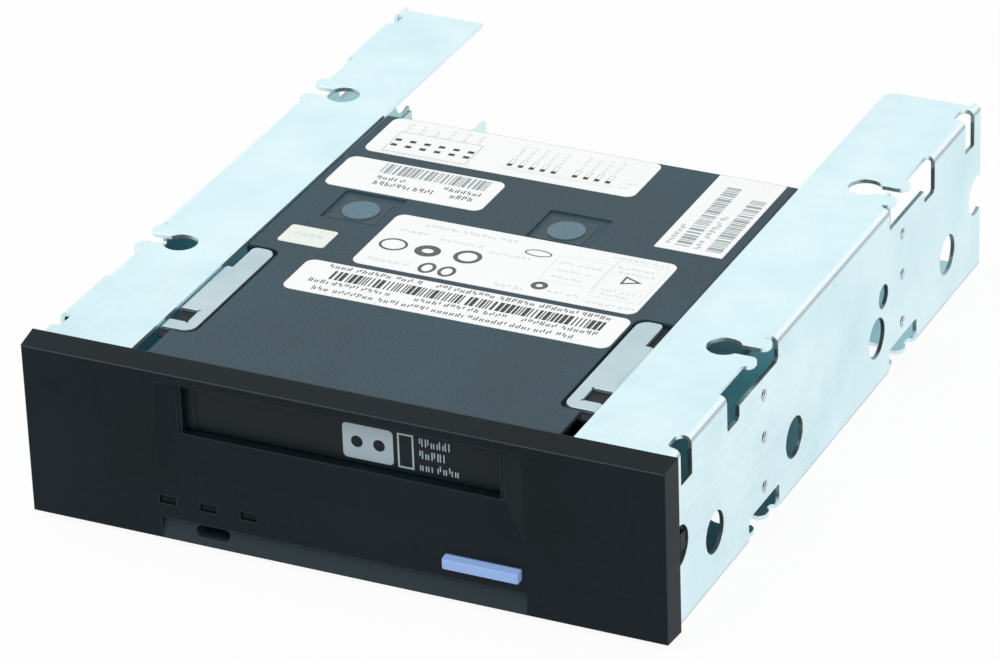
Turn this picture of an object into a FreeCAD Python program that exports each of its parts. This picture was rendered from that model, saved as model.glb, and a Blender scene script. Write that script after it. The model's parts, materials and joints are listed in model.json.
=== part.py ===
import FreeCAD, Part
import os
from math import atan2, cos, degrees, hypot, pi, radians, sin

# Data tape drive, 5.25-inch half-height: a narrow drive held between two bay brackets.
# Drawn with X to the right, Y from the bezel's back face to the rear, and Z up from the
# brackets' underside. The origin is put under the middle of the whole part at the end.

V = FreeCAD.Vector

# ---------------------------------------------------------------- driving sizes, in mm
touch = 0.1            # gap between fixed pieces that lie side by side
running = 0.3          # gap between pieces that move past each other

# Bay brackets: folded channels, one each side of the drive
bay_width = 146.05     # over the brackets' outer faces
bracket_length = 175.0
bracket_height = 41.6
bracket_sheet = 1.0
bracket_bend = 1.7     # outside radius of the folds
lip_height = 16.0      # inner lip that screws to the drive
flange_setback = 1.8   # flanges end this far before the wall's rear end
side_hole_pitch = 79.24
side_hole_first = 47.4
side_hole_rows = (9.93, 21.84, 31.83)
side_hole_radius = 1.5
collar_radius = 2.3    # drawn collar round each tapped hole
collar_depth = 1.0
access_radius = 4.75
access_height = 13.2
access_inner = 23.75   # access holes, from the middle of the bracket
access_outer = 66.8
small_hole_radius = 2.85
small_hole_offset = 27.7
small_hole_height = 21.7
end_hole_inset = 2.4
end_hole_height = 19.6
keyhole_radius = 3.85
keyhole_inset = 8.9    # from the outer face to the middle of the round hole
neck_width = 4.1
finger_width = 4.2     # flat fingers on both sides of the neck
finger_round = 1.7     # rounding of their free ends
low_finger_short = 1.2  # lower fingers end this far inside the wall's outer face
fold_relief = 2.2      # width of flange cut away where the fold is notched
notch_long = 19.6      # notch in the upper fold, from the keyhole towards the near end
notch_short = 7.9
notch_depth = 5.6
pocket_length = 6.6
pocket_depth = 8.7
notch_round = 1.0      # inside corners of the notches
low_notch_long = 8.8
low_notch_height = 6.5
corner_notch_start = 3.9
corner_notch_length = 5.8
corner_notch_depth = 8.6
corner_notch_inset = 3.2
plan_corner = 3.0

# Drive housing
drive_width = 101.6
drive_top = 41.2
drive_bottom = 0.6
cover_sheet = 0.8
cover_front = 1.3
cover_length = 120.0
cover_front_step = 3.3  # the lid's front end is this much narrower on each side
skirt_depth = 11.9
plate_sheet = 0.8
plate_front = 1.0
plate_length = 132.0
plate_front_height = 36.0
plate_tail_height = 37.2
plate_flange = 6.0
leaf_start = 12.5
leaf_length = 39.5
leaf_width = 7.8
leaf_bent_length = 29.5
leaf_free_width = 5.5
leaf_gap = 0.9
leaf_corner = 2.6
leaf_notch_start = 3.5
leaf_notch = 5.0
shelf_sheet = 0.6      # lid's step under each leaf
shelf_rim = 1.5        # how far it laps under the lid
base_sheet = 1.0
clip_start = 104.0
clip_length = 12.0
clip_height = 34.0
pad_recess = 0.4
pad_radius = 4.25
pad_bay_width = 15.0   # recess round a pad
pad_bay_length = 13.9
pad_bay_shift = (0.4, 0.65)  # from the pad's middle to the recess's middle
left_pad = (-34.9, 76.7)
right_pad = (11.2, 84.4)
rear_panel_front = 119.8
vent_pitch = 9.0
vent_width = 3.0
vent_length = 23.0     # of the slots in the base plate
vent_margin = 4.0      # solid sheet above and below the rear panel's slots

# Bezel and what sits in it
bezel_lap = 1.225      # beyond the brackets' outer faces
bezel_bottom = 1.1
bezel_top = 42.0
bezel_depth = 6.2
bezel_wall = 1.9
bezel_rim = 1.5
bezel_draft_side = 0.42
bezel_draft_top = 0.87
bezel_edge = 0.4       # rounding of the front outline
panel_width = 84.6
panel_bottom = 18.5
panel_depth = 0.9
slot_width = 75.3
slot_bottom = 27.1
slot_height = 11.4
slot_frame = 1.8
stop_rib = 0.9
ledge_top = 6.35
ledge_depth = 1.3
ledge_foot = 0.4
eject_hole_middle = -30.6
eject_hole_length = 8.0
eject_hole_width = 2.6
eject_hole_height = 4.3
light_middles = (-40.7, -31.0, -21.5)
light_width = 4.0
light_height = 2.0
light_level = 10.7
button_middle = 32.7
button_level = 10.6
button_width = 17.4
button_height = 2.65
button_proud = 1.8
button_slope = 0.36     # fall of the cap's upper face towards the front
button_corner = 0.5
button_edge = 0.25
button_travel = 1.0
button_skirt = 1.0
switch_tip = -0.4      # front of the switch's plunger
door_thickness = 1.2
door_recess = 2.3
band_width = 3.1       # raised band at the door's left end
band_rise = 0.15
hinge_rise = 0.9       # hinge line above the slot's upper edge
hinge_radius = 0.6
spring_wire = 0.35
spring_length = 3.2
spring_inset = 7.0     # from the door's right-hand end to the spring
bezel_hook_width = 4.0

# Boards and connectors
board_thickness = 1.6
board_height = 3.6
board_side_gap = 3.0   # from the side plates to the board's edges
board_rear = 131.8
front_board_face = 4.0
front_board_thickness = 1.2
front_board_top = 16.4
standoff_radius = 3.0
board_screw_radius = 1.3
board_screw_inset = 5.5  # from the board's edge to a screw's middle
base_screw_tip = 0.8   # thread past the side plates' feet
flat_head = 0.4        # thickness of the screw heads under the base plate
data_middle = -6.0
data_width = 46.0
data_height = 8.6
data_tail = 133.0
power_middle = 33.0
power_height = 10.8
power_wall = 1.2
power_pitch = 5.08
power_end = 2.98       # from the outer pins' middles to the shroud's sides
power_pin_radius = 1.05
power_pin_recess = 1.8  # pins end this far inside the shroud's mouth
power_back = 4.0       # solid back of the shroud
power_bevel = 2.0
connector_lead = 3.0   # connectors start this far in front of the rear panel
jumper_middle = -40.0
jumper_pitch = 2.54
jumper_columns = 6
jumper_pin = 0.64
jumper_body = 6.2      # height of the header's moulding
jumper_depth = 2.5
jumper_panel_gap = 0.6
jumper_reach = 6.3     # length of the pins outside the moulding

# Cartridge and the mechanism that loads it
cartridge_width = 73.0
cartridge_length = 54.0
cartridge_height = 10.5
holder_sheet = 0.8
holder_front = 10.8
holder_side_gap = 0.4
holder_top_gap = 0.5
holder_flange = 5.0
holder_window = 48.0   # width of the opening in the roof
holder_window_front = 14.0
holder_window_rear = 10.0
lift = 6.5
pin_radius = 1.0
pin_places = (30.0, 55.0)
pin_height = 33.0
slide_travel = 14.0
slide_drop = 1.6       # underside of the slide's web below the deck's underside
rack_depth = 2.8
slide_front = 13.0
slide_length = 49.0
guide_sheet = 1.0
deck_height = 17.0
deck_sheet = 1.2
deck_front = 10.0
deck_length = 102.0
reel_spread = 15.0
reel_place = 38.0
reel_radius = 11.0
spindle_radius = 2.9
spindle_top = 26.0
reel_motor_radius = 9.0
reel_shaft_radius = 2.0
reel_motor_depth = 2.7
drum_place = 92.0
drum_radius = 15.0
drum_tilt = 5.0
drum_base_height = 9.0
drum_height = 9.0
drum_motor_radius = 12.0
drum_motor_height = 7.4
drum_neck_radius = 3.6
capstan_x = 31.0
capstan_y = 80.0
capstan_radius = 1.25
capstan_top = 27.0
bearing_radius = 3.0
bearing_flange = 0.6
flywheel_radius = 10.0
flywheel_rise = 3.6    # above the main board
flywheel_thick = 3.0
flywheel_hub_radius = 3.2
flywheel_hub_height = 4.2
flywheel_groove = 0.8
pinch_radius = 3.4
pinch_swing = 30.0     # degrees from rest to the capstan
pinch_pivot_x = 36.0
pinch_pivot_y = 70.0
pinch_approach = -80.0  # direction of the pressed roller from the capstan, degrees
carriage_start = (24.0, 60.0)
carriage_end = (19.5, 86.0)
carriage_size = 7.0
gear_x = -30.0
gear_y = 46.0
rack_module = 0.8
pinion_teeth = 15
wheel_module = 0.5
wheel_teeth = 40
worm_radius = 1.9
motor_radius = 4.3
motor_front = 10.4
motor_length = 17.6

# ---------------------------------------------------------------- sizes that follow
bay_half = bay_width / 2
bezel_half = bay_half + bezel_lap
bezel_front = -bezel_depth
wall_back = bezel_front + bezel_wall
front_end = bezel_front - button_proud
drive_half = drive_width / 2
lip_face = drive_half + touch
keyhole_x = bay_half - keyhole_inset
keyholes = (side_hole_first, side_hole_first + side_hole_pitch)
bracket_middle = bracket_length / 2
access_places = [bracket_middle + step for step in
                 (-access_outer, -access_inner, access_inner, access_outer)]
screw_places = access_places[:3]
cover_under = drive_top - cover_sheet
cover_rear = cover_front + cover_length
base_top = drive_bottom + base_sheet
plate_inside = drive_half - plate_sheet
plate_rear = plate_front + plate_length
leaf_end = leaf_start + leaf_length
skirt_bottom = drive_top - skirt_depth
deck_top = deck_height + deck_sheet
deck_rear = deck_front + deck_length
board_top = board_height + board_thickness
power_width = 3 * power_pitch + 2 * power_end
power_front = rear_panel_front - connector_lead
board_half = plate_inside - board_side_gap
front_board_back = front_board_face + front_board_thickness
slot_top = slot_bottom + slot_height
door_face = bezel_front + panel_depth + door_recess
hinge_y = door_face + door_thickness / 2
hinge_z = slot_top + hinge_rise
door_half = slot_width / 2 - running - touch
spring_radius = hinge_radius + touch + spring_wire
spring_start = door_half - spring_inset
holder_inside = cartridge_width / 2 + holder_side_gap
holder_outside = holder_inside + holder_sheet
holder_floor = slot_bottom + running - touch
holder_roof = holder_floor + cartridge_height + holder_top_gap
holder_rear = holder_front + cartridge_length
guide_inside = holder_outside + 0.5
slide_inside = guide_inside + guide_sheet + 0.8
slide_outside = slide_inside + holder_sheet
pin_slot = 2 * (pin_radius + running)
slide_top = pin_height + 3.5
slide_low = deck_height - slide_drop
flywheel_low = board_top + flywheel_rise
pinion_radius = rack_module * pinion_teeth / 2
rack_line = gear_x - pinion_radius
wheel_radius = wheel_module * wheel_teeth / 2
worm_x = gear_x - wheel_radius - wheel_module - worm_radius - touch
worm_level = 10.4
pinch_level = deck_top + 0.8
deck_screw_level = deck_top + 5
deck_screw_places = (deck_front + 12, deck_rear - 18)
base_screw_places = [(drive_half - plate_flange / 2, y)
                     for y in (plate_front + 8, plate_front + plate_length / 2,
                               plate_rear - 8)]
board_screw_places = [(side * (board_half - board_screw_inset), y) for side in (-1, 1)
                      for y in (motor_front + motor_length + standoff_radius * 2,
                                rear_panel_front - board_screw_inset - touch)]
jumper_rows = [board_top + jumper_body / 2 + step * jumper_pitch for step in (-0.5, 0.5)]
jumper_front = rear_panel_front + plate_sheet + jumper_panel_gap

nodes = {}


# ---------------------------------------------------------------- shape helpers
def block(x0, x1, y0, y1, z0, z1):
    return Part.makeBox(x1 - x0, y1 - y0, z1 - z0, V(x0, y0, z0))


def rod(radius, start, reach):
    """A round bar from start, along the vector reach."""
    return Part.makeCylinder(radius, reach.Length, start, reach)


def fuse(first, *others):
    return first.fuse(list(others)).removeSplitter()


def cut(first, *others):
    return first.cut(list(others))


def mirrored(shape):
    return shape.mirror(V(0, 0, 0), V(1, 0, 0))


def is_along(edge, axis):
    box = edge.BoundBox
    lengths = (box.XLength, box.YLength, box.ZLength)
    return all(size < 1e-6 for place, size in enumerate(lengths) if place != axis)


def round_edges(shape, radius, axis, wanted=None):
    """Round the edges along one axis whose middle point passes the test."""
    edges = [edge for edge in shape.Edges if is_along(edge, axis)
             and (wanted is None or wanted(edge.CenterOfMass))]
    return shape.makeFillet(radius, edges)


def plate(x0, x1, y0, y1, z0, z1, corner):
    """A flat block with its four upright edges rounded."""
    return round_edges(block(x0, x1, y0, y1, z0, z1), corner, 2)


def slot_along(start, end, radius, axis, low, high):
    """A round-ended slot between two points of a plane across X, Y or Z."""
    lift_by = [V(low, 0, 0), V(0, low, 0), V(0, 0, low)][axis]
    reach = [V(high - low, 0, 0), V(0, high - low, 0), V(0, 0, high - low)][axis]
    run = end - start
    side = reach.cross(run)
    side.normalize()
    side = side * radius
    corners = [start + side, start - side, end - side, end + side, start + side]
    middle = Part.Face(Part.makePolygon([point + lift_by for point in corners]))
    ends = [rod(radius, point + lift_by, reach) for point in (start, end)]
    return middle.extrude(reach).fuse(ends)


def spur_gear(teeth, module, x, y, z0, z1, backlash, turn):
    """A straight-toothed gear, with one tooth pointing along the angle turn (degrees)."""
    pitch = module * teeth / 2
    tip = pitch + module * 0.9
    root = pitch - module * 1.15
    half_pitch_angle = (pi * module / 2 - backlash) / pitch / 2
    corners = []
    for tooth in range(teeth):
        middle = radians(turn) + 2 * pi * tooth / teeth
        for radius, share in ((root, -1.45), (tip, -0.45), (tip, 0.45), (root, 1.45)):
            angle = middle + share * half_pitch_angle
            corners.append(V(x + radius * cos(angle), y + radius * sin(angle), z0))
    corners.append(corners[0])
    return Part.Face(Part.makePolygon(corners)).extrude(V(0, 0, z1 - z0))


def hex_recess(place, way, radius, head_height):
    """Six-sided driver recess in the top of a head that sits at place."""
    across = way.cross(V(0, 0, 1) if abs(way.z) < 0.5 else V(1, 0, 0))
    across.normalize()
    top = place - way * (head_height + 0.1)
    corners = []
    for step in range(7):
        arm = FreeCAD.Rotation(way, 60 * step).multVec(across) * radius
        corners.append(top + arm)
    return Part.Face(Part.makePolygon(corners)).extrude(way * (head_height * 0.6 + 0.1))


def pan_screw(place, direction, shank_radius, shank_length):
    """A round-headed screw: place is under the head, direction is the way it is driven."""
    way = V(direction)
    way.normalize()
    head_radius = shank_radius * 1.9
    head_height = shank_radius * 1.25
    shank = rod(shank_radius, place, way * shank_length)
    head = rod(head_radius, place, way * -head_height)
    rim = [edge for edge in head.Edges if len(edge.Vertexes) == 1
           and (edge.CenterOfMass - place).Length > head_height / 2]
    head = head.makeChamfer(head_height * 0.35, rim)
    return head.cut(hex_recess(place, way, shank_radius * 0.8, head_height)).fuse(shank)


# ---------------------------------------------------------------- bay brackets
def bracket_channel():
    """The right-hand channel: wall outside, flanges above and below, lip against the drive."""
    ends = (0, bracket_length)
    outer = block(lip_face, bay_half, *ends, 0, bracket_height)
    outer = round_edges(outer, bracket_bend, 1,
                        lambda point: point.x > lip_face + 1 or point.z < 1)
    inner = block(lip_face + bracket_sheet, bay_half - bracket_sheet, *ends,
                  bracket_sheet, bracket_height - bracket_sheet)
    inner = round_edges(inner, bracket_bend - bracket_sheet, 1,
                        lambda point: point.x > lip_face + 2 or point.z < 2)
    mouth = block(lip_face - 1, lip_face + bracket_sheet + 1, *ends,
                  lip_height, bracket_height - bracket_sheet)
    setback = block(lip_face - 1, bay_half - bracket_bend,
                    bracket_length - flange_setback, bracket_length + 1,
                    -1, bracket_height + 1)
    return cut(outer, inner, mouth, setback)


def fold_notch(place, towards_end, top):
    """What is cut from a fold beside one keyhole; towards_end is -1 at the front, 1 behind."""
    if top:
        floor = bracket_height - notch_depth
        ceiling = bracket_height + 1
        near = notch_long
        far = notch_short
    else:
        floor = -1
        ceiling = low_notch_height
        near = low_notch_long
        far = notch_short
    ends = sorted((place + towards_end * near, place - towards_end * far))
    pieces = [block(bay_half - fold_relief, bay_half + 1, *ends, floor, ceiling)]
    if top:
        pocket = sorted((place + towards_end * near,
                         place + towards_end * (near - pocket_length)))
        pieces.append(block(bay_half - fold_relief, bay_half + 1, *pocket,
                            bracket_height - pocket_depth, ceiling))
    rounded = []
    for piece in pieces:
        box = piece.BoundBox
        wall_end = box.ZMin if top else box.ZMax
        piece = round_edges(piece, notch_round, 0, lambda point: abs(point.z - wall_end) < 0.01)
        rounded.append(round_edges(piece, notch_round, 2, lambda point: point.x < bay_half))
    return rounded


def keyhole(place, low):
    """A round hole in a flange with a neck that runs out through the fold."""
    through = V(0, 0, bracket_sheet + 2)
    start = V(keyhole_x, place, low - 1)
    neck = block(keyhole_x, bay_half + 1, place - neck_width / 2, place + neck_width / 2,
                 low - 1, low + bracket_sheet + 1)
    return rod(keyhole_radius, start, through).fuse(neck)


def fingers(place, low):
    """Flat fingers beside a keyhole's neck, with rounded ends over the notched fold."""
    free_end = bay_half - (touch if low else low_finger_short)
    pieces = []
    for side in (-1, 1):
        ends = sorted((place + side * neck_width / 2,
                       place + side * (neck_width / 2 + finger_width)))
        tab = block(bay_half - fold_relief - 1, free_end, *ends, low, low + bracket_sheet)
        pieces.append(round_edges(tab, finger_round, 2,
                                  lambda point: abs(point.x - free_end) < 0.01))
    return pieces


def bracket(with_round_corner):
    shape = bracket_channel()
    cuts = []
    for place, towards_end in zip(keyholes, (-1, 1)):
        cuts += fold_notch(place, towards_end, True)
        cuts += fold_notch(place, towards_end, False)
    for start in (corner_notch_start,
                  bracket_length - corner_notch_start - corner_notch_length):
        notch = block(bay_half - corner_notch_inset, bay_half + 1, start,
                      start + corner_notch_length,
                      bracket_height - corner_notch_depth, bracket_height + 1)
        cuts.append(round_edges(notch, corner_notch_inset / 2, 2,
                                lambda point: point.x < bay_half))
    shape = cut(shape, *cuts)
    shape = fuse(shape, *[tab for place in keyholes
                          for low in (0, bracket_height - bracket_sheet)
                          for tab in fingers(place, low)])
    shape = cut(shape, *[keyhole(place, low) for place in keyholes
                         for low in (0, bracket_height - bracket_sheet)])

    outward = V(bracket_sheet + collar_depth + 2, 0, 0)
    wall_inside = bay_half - bracket_sheet
    tapped = [(place, height) for place in keyholes for height in side_hole_rows]
    collars = [rod(collar_radius, V(wall_inside - collar_depth, y, z),
                   V(collar_depth + bracket_sheet / 2, 0, 0)) for y, z in tapped]
    shape = fuse(shape, *collars)
    bores = [rod(side_hole_radius, V(wall_inside - collar_depth - 1, y, z), outward)
             for y, z in tapped]
    through = V(bracket_sheet + 2, 0, 0)
    round_holes = [(y, access_height, access_radius) for y in access_places]
    round_holes += [(bracket_middle + small_hole_offset, small_hole_height, small_hole_radius),
                    (end_hole_inset, end_hole_height, access_radius),
                    (bracket_length - end_hole_inset, end_hole_height, access_radius)]
    bores += [rod(radius, V(wall_inside - 1, y, z), through) for y, z, radius in round_holes]
    bores += [rod(side_hole_radius + touch, V(lip_face - 1, y, access_height), through)
              for y in screw_places]
    shape = cut(shape, *bores)
    if with_round_corner:
        corner_y = bracket_length - flange_setback
        shape = round_edges(shape, plan_corner, 2,
                            lambda point: abs(point.x - lip_face) < 0.01
                            and abs(point.y - corner_y) < 0.01
                            and point.z > lip_height)
    return shape


def bracket_screws():
    """Pan screws through each bracket's lip into the drive's side plates."""
    screws = []
    for side in (-1, 1):
        for place in screw_places:
            seat = V(side * (lip_face + bracket_sheet), place, access_height)
            screws.append(pan_screw(seat, V(-side, 0, 0), side_hole_radius,
                                    bracket_sheet + plate_sheet + 1.4))
    return Part.Compound(screws)


nodes["right_bracket"] = bracket(True)
nodes["left_bracket"] = mirrored(bracket(False))
nodes["bracket_screws"] = bracket_screws()


# ---------------------------------------------------------------- drive housing
def side_plate():
    """Right-hand chassis side, folded from sheet, with a leaf level with the cover."""
    sheet = plate_sheet
    lower_top = skirt_bottom - running
    wall = block(plate_inside, drive_half, plate_front, plate_rear, base_top, lower_top)
    front = block(plate_inside, drive_half, plate_front, leaf_start, lower_top - 1,
                  plate_front_height)
    riser = block(plate_inside, drive_half, leaf_start, leaf_start + leaf_bent_length,
                  lower_top - 1, drive_top)
    tail = block(plate_inside, drive_half, cover_rear + running, plate_rear,
                 lower_top - 1, plate_tail_height)
    leaf = block(drive_half - leaf_width, drive_half, leaf_start,
                 leaf_start + leaf_bent_length, drive_top - sheet, drive_top)
    tongue = block(drive_half - leaf_width, drive_half - leaf_width + leaf_free_width,
                   leaf_start + leaf_bent_length - 1, leaf_end, drive_top - sheet, drive_top)
    shape = fuse(wall, front, riser, tail, leaf, tongue)
    shape = round_edges(shape, sheet * 1.5, 1,
                        lambda point: abs(point.x - drive_half) < 0.01
                        and abs(point.z - drive_top) < 0.01)
    inner_edge = drive_half - leaf_width
    shape = round_edges(shape, leaf_corner, 2,
                        lambda point: abs(point.x - inner_edge) < 0.01)
    shape = round_edges(shape, leaf_corner / 2, 2,
                        lambda point: abs(point.x - inner_edge - leaf_free_width) < 0.01
                        and abs(point.y - leaf_end) < 0.01)
    foot = block(drive_half - plate_flange, drive_half, plate_front, plate_rear,
                 base_top, base_top + sheet)
    clip = block(plate_inside - sheet, plate_inside, clip_start, clip_start + clip_length,
                 lower_top - 4, clip_height + 4)
    catch = block(plate_inside - sheet / 2, drive_half - touch, clip_start + 3,
                  clip_start + clip_length - 3, clip_height, clip_height + 2.5)
    shape = fuse(shape, foot, clip, catch)
    notch_y = leaf_start + leaf_notch_start
    notch = block(drive_half - leaf_notch, drive_half + 1, notch_y, notch_y + leaf_notch + 0.5,
                  drive_top - 2.2, drive_top + 1)
    relief = [rod(0.35, V(drive_half - leaf_notch, y, drive_top - 2), V(0, 0, 3))
              for y in (notch_y, notch_y + leaf_notch + 0.5)]
    holes = [rod(side_hole_radius + touch, V(plate_inside - 1, y, access_height),
                 V(plate_sheet + 2, 0, 0)) for y in screw_places]
    holes += [rod(side_hole_radius + touch, V(plate_inside - 1, y, deck_screw_level),
                  V(plate_sheet + 2, 0, 0)) for y in deck_screw_places]
    holes += [rod(board_screw_radius + touch, V(x, y, base_top - 1), V(0, 0, sheet + 2))
              for x, y in base_screw_places]
    return cut(shape, notch, *relief, *holes)


def top_cover():
    """Folded lid: flat top with cut-outs for the chassis leaves, and short side skirts."""
    skirt_front = leaf_end + leaf_gap
    top = block(-drive_half, drive_half, cover_front, cover_rear, cover_under, drive_top)
    skirts = [block(*sorted((side * drive_half, side * (drive_half - cover_sheet))),
                    skirt_front, cover_rear, skirt_bottom, drive_top) for side in (-1, 1)]
    shape = fuse(top, *skirts)
    cuts = []
    shelves = []
    for side in (-1, 1):
        bay = block(*sorted((side * (drive_half - leaf_width - leaf_gap),
                             side * (drive_half + 1))),
                    leaf_start - leaf_gap, skirt_front, skirt_bottom - 1, drive_top + 1)
        bay = round_edges(bay, leaf_corner, 2, lambda point: abs(point.x) < drive_half)
        ear = block(*sorted((side * (drive_half - cover_front_step), side * (drive_half + 1))),
                    cover_front - 1, leaf_start, skirt_bottom - 1, drive_top + 1)
        window = block(*sorted((side * (plate_inside - running), side * (drive_half + 1))),
                       clip_start + 3 - running, clip_start + clip_length - 3 + running,
                       clip_height - running, clip_height + 2.5 + running)
        cuts += [bay, ear, window]
        bay_edge = drive_half - leaf_width - leaf_gap
        shelf_top = drive_top - plate_sheet - touch
        laps = (leaf_start - leaf_gap - shelf_rim, skirt_front + shelf_rim)
        shelf = block(*sorted((side * (bay_edge - shelf_rim), side * (plate_inside - running))),
                      *laps, shelf_top - shelf_sheet, shelf_top)
        rim = block(*sorted((side * (bay_edge - shelf_rim), side * bay_edge)),
                    *laps, shelf_top - shelf_sheet, cover_under + touch)
        shelves += [shelf, rim]
    shape = fuse(cut(shape, *cuts), *shelves)
    shape = round_edges(shape, cover_sheet * 1.2, 1,
                        lambda point: abs(abs(point.x) - drive_half) < 0.01
                        and abs(point.z - drive_top) < 0.01)
    for x, y in (left_pad, right_pad):
        left = x + pad_bay_shift[0] - pad_bay_width / 2
        front = y + pad_bay_shift[1] - pad_bay_length / 2
        right = left + pad_bay_width
        rear = front + pad_bay_length
        boss = plate(left - cover_sheet, right + cover_sheet, front - cover_sheet,
                     rear + cover_sheet, cover_under - pad_recess, cover_under, 1.2)
        recess = plate(left, right, front, rear, drive_top - pad_recess, drive_top + 1, 0.8)
        shape = cut(fuse(shape, boss), recess)
    return shape


def base_plate():
    """Flat bottom sheet with standoffs for the board and rows of vent slots."""
    half = drive_half - touch
    shape = plate(-half, half, plate_front, plate_rear, drive_bottom, base_top, 1.0)
    posts = [rod(standoff_radius, V(x, y, base_top), V(0, 0, board_height - base_top))
             for x, y in board_screw_places]
    shape = fuse(shape, *posts)
    holes = [rod(board_screw_radius + touch, V(x, y, drive_bottom - 1),
                 V(0, 0, board_height + 2)) for x, y in board_screw_places]
    holes += [rod(board_screw_radius + touch, V(side * x, y, drive_bottom - 1),
                  V(0, 0, base_sheet + 2)) for side in (-1, 1) for x, y in base_screw_places]
    vent_middle = plate_front + plate_length * 0.55
    for column in range(-3, 4):
        half_run = V(0, (vent_length - vent_width) / 2, 0)
        middle = V(column * vent_pitch, vent_middle, 0)
        holes.append(slot_along(middle - half_run, middle + half_run, vent_width / 2, 2,
                                drive_bottom - 1, base_top + 1))
    return cut(shape, *holes)


def base_screws():
    """Screws up through the base plate into the side plates' feet."""
    places = [(side * x, y) for side in (-1, 1) for x, y in base_screw_places]
    length = base_sheet + plate_sheet + base_screw_tip
    screws = []
    for x, y in places:
        shank = rod(board_screw_radius, V(x, y, drive_bottom), V(0, 0, length))
        head = rod(board_screw_radius * 2, V(x, y, drive_bottom - flat_head),
                   V(0, 0, flat_head))
        screws.append(fuse(shank, head))
    return Part.Compound(screws)


def rear_panel():
    """Upright sheet behind the mechanism, open round the connectors and over the board."""
    half = plate_inside - touch
    back = rear_panel_front + plate_sheet
    shape = block(-half, half, rear_panel_front, back, base_top + plate_sheet,
                  cover_under - touch)
    over_board = block(-board_half - running, board_half + running,
                       rear_panel_front - 1, back + 1, 0, board_top + running)
    windows = [over_board]
    for middle, width, height in ((data_middle, data_width, data_height),
                                  (power_middle, power_width, power_height),
                                  (jumper_middle, jumper_pitch * jumper_columns, jumper_body)):
        windows.append(block(middle - width / 2 - running, middle + width / 2 + running,
                             rear_panel_front - 1, back + 1, board_top,
                             board_top + height + running))
    for column in range(-4, 5):
        x = column * vent_pitch
        windows.append(block(x - vent_width / 2, x + vent_width / 2, rear_panel_front - 1,
                             back + 1, deck_top + vent_margin, cover_under - vent_margin))
    return cut(shape, *windows)


def cover_pad(x, y):
    low = drive_top - pad_recess
    return rod(pad_radius, V(x, y, low), V(0, 0, pad_recess - touch))


nodes["right_side_plate"] = side_plate()
nodes["left_side_plate"] = mirrored(side_plate())
nodes["top_cover"] = top_cover()
nodes["left_cover_pad"] = cover_pad(*left_pad)
nodes["right_cover_pad"] = cover_pad(*right_pad)
nodes["base_plate"] = base_plate()
nodes["base_screws"] = base_screws()
nodes["rear_panel"] = rear_panel()

# Paper labels on the cover: left, right, front and rear edges, and the corner radius
label_sheet = 0.12
labels = {
    "settings_label": (-47.9, 18.4, 103.5, 121.0, 2.2),
    "model_label": (-48.7, -10.1, 85.1, 99.9, 2.2),
    "rating_label": (-26.1, 40.9, 53.4, 77.9, 2.2),
    "tracking_label": (-34.8, 41.7, 37.5, 51.5, 2.2),
    "serial_label": (32.0, 48.0, 84.1, 121.0, 0.3),
    "date_label": (-45.6, -34.3, 56.8, 64.8, 0.8),
}
for name, (left, right, front, rear, corner) in labels.items():
    nodes[name] = plate(left, right, front, rear, drive_top, drive_top + label_sheet, corner)


# ---------------------------------------------------------------- bezel
def tapered(near, far):
    """A flat-sided solid between two upright rectangles: (half width, y, low, high)."""
    near_half, near_y, near_low, near_high = near
    far_half, far_y, far_low, far_high = far
    reach = max(near_half, far_half)
    plan = [V(-near_half, near_y, 0), V(near_half, near_y, 0),
            V(far_half, far_y, 0), V(-far_half, far_y, 0)]
    side = [V(-reach, near_y, near_low), V(-reach, near_y, near_high),
            V(-reach, far_y, far_high), V(-reach, far_y, far_low)]
    upright = Part.Face(Part.makePolygon(plan + plan[:1]))
    across = Part.Face(Part.makePolygon(side + side[:1]))
    return upright.extrude(V(0, 0, max(near_high, far_high))).common(
        across.extrude(V(2 * reach, 0, 0)))


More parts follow.
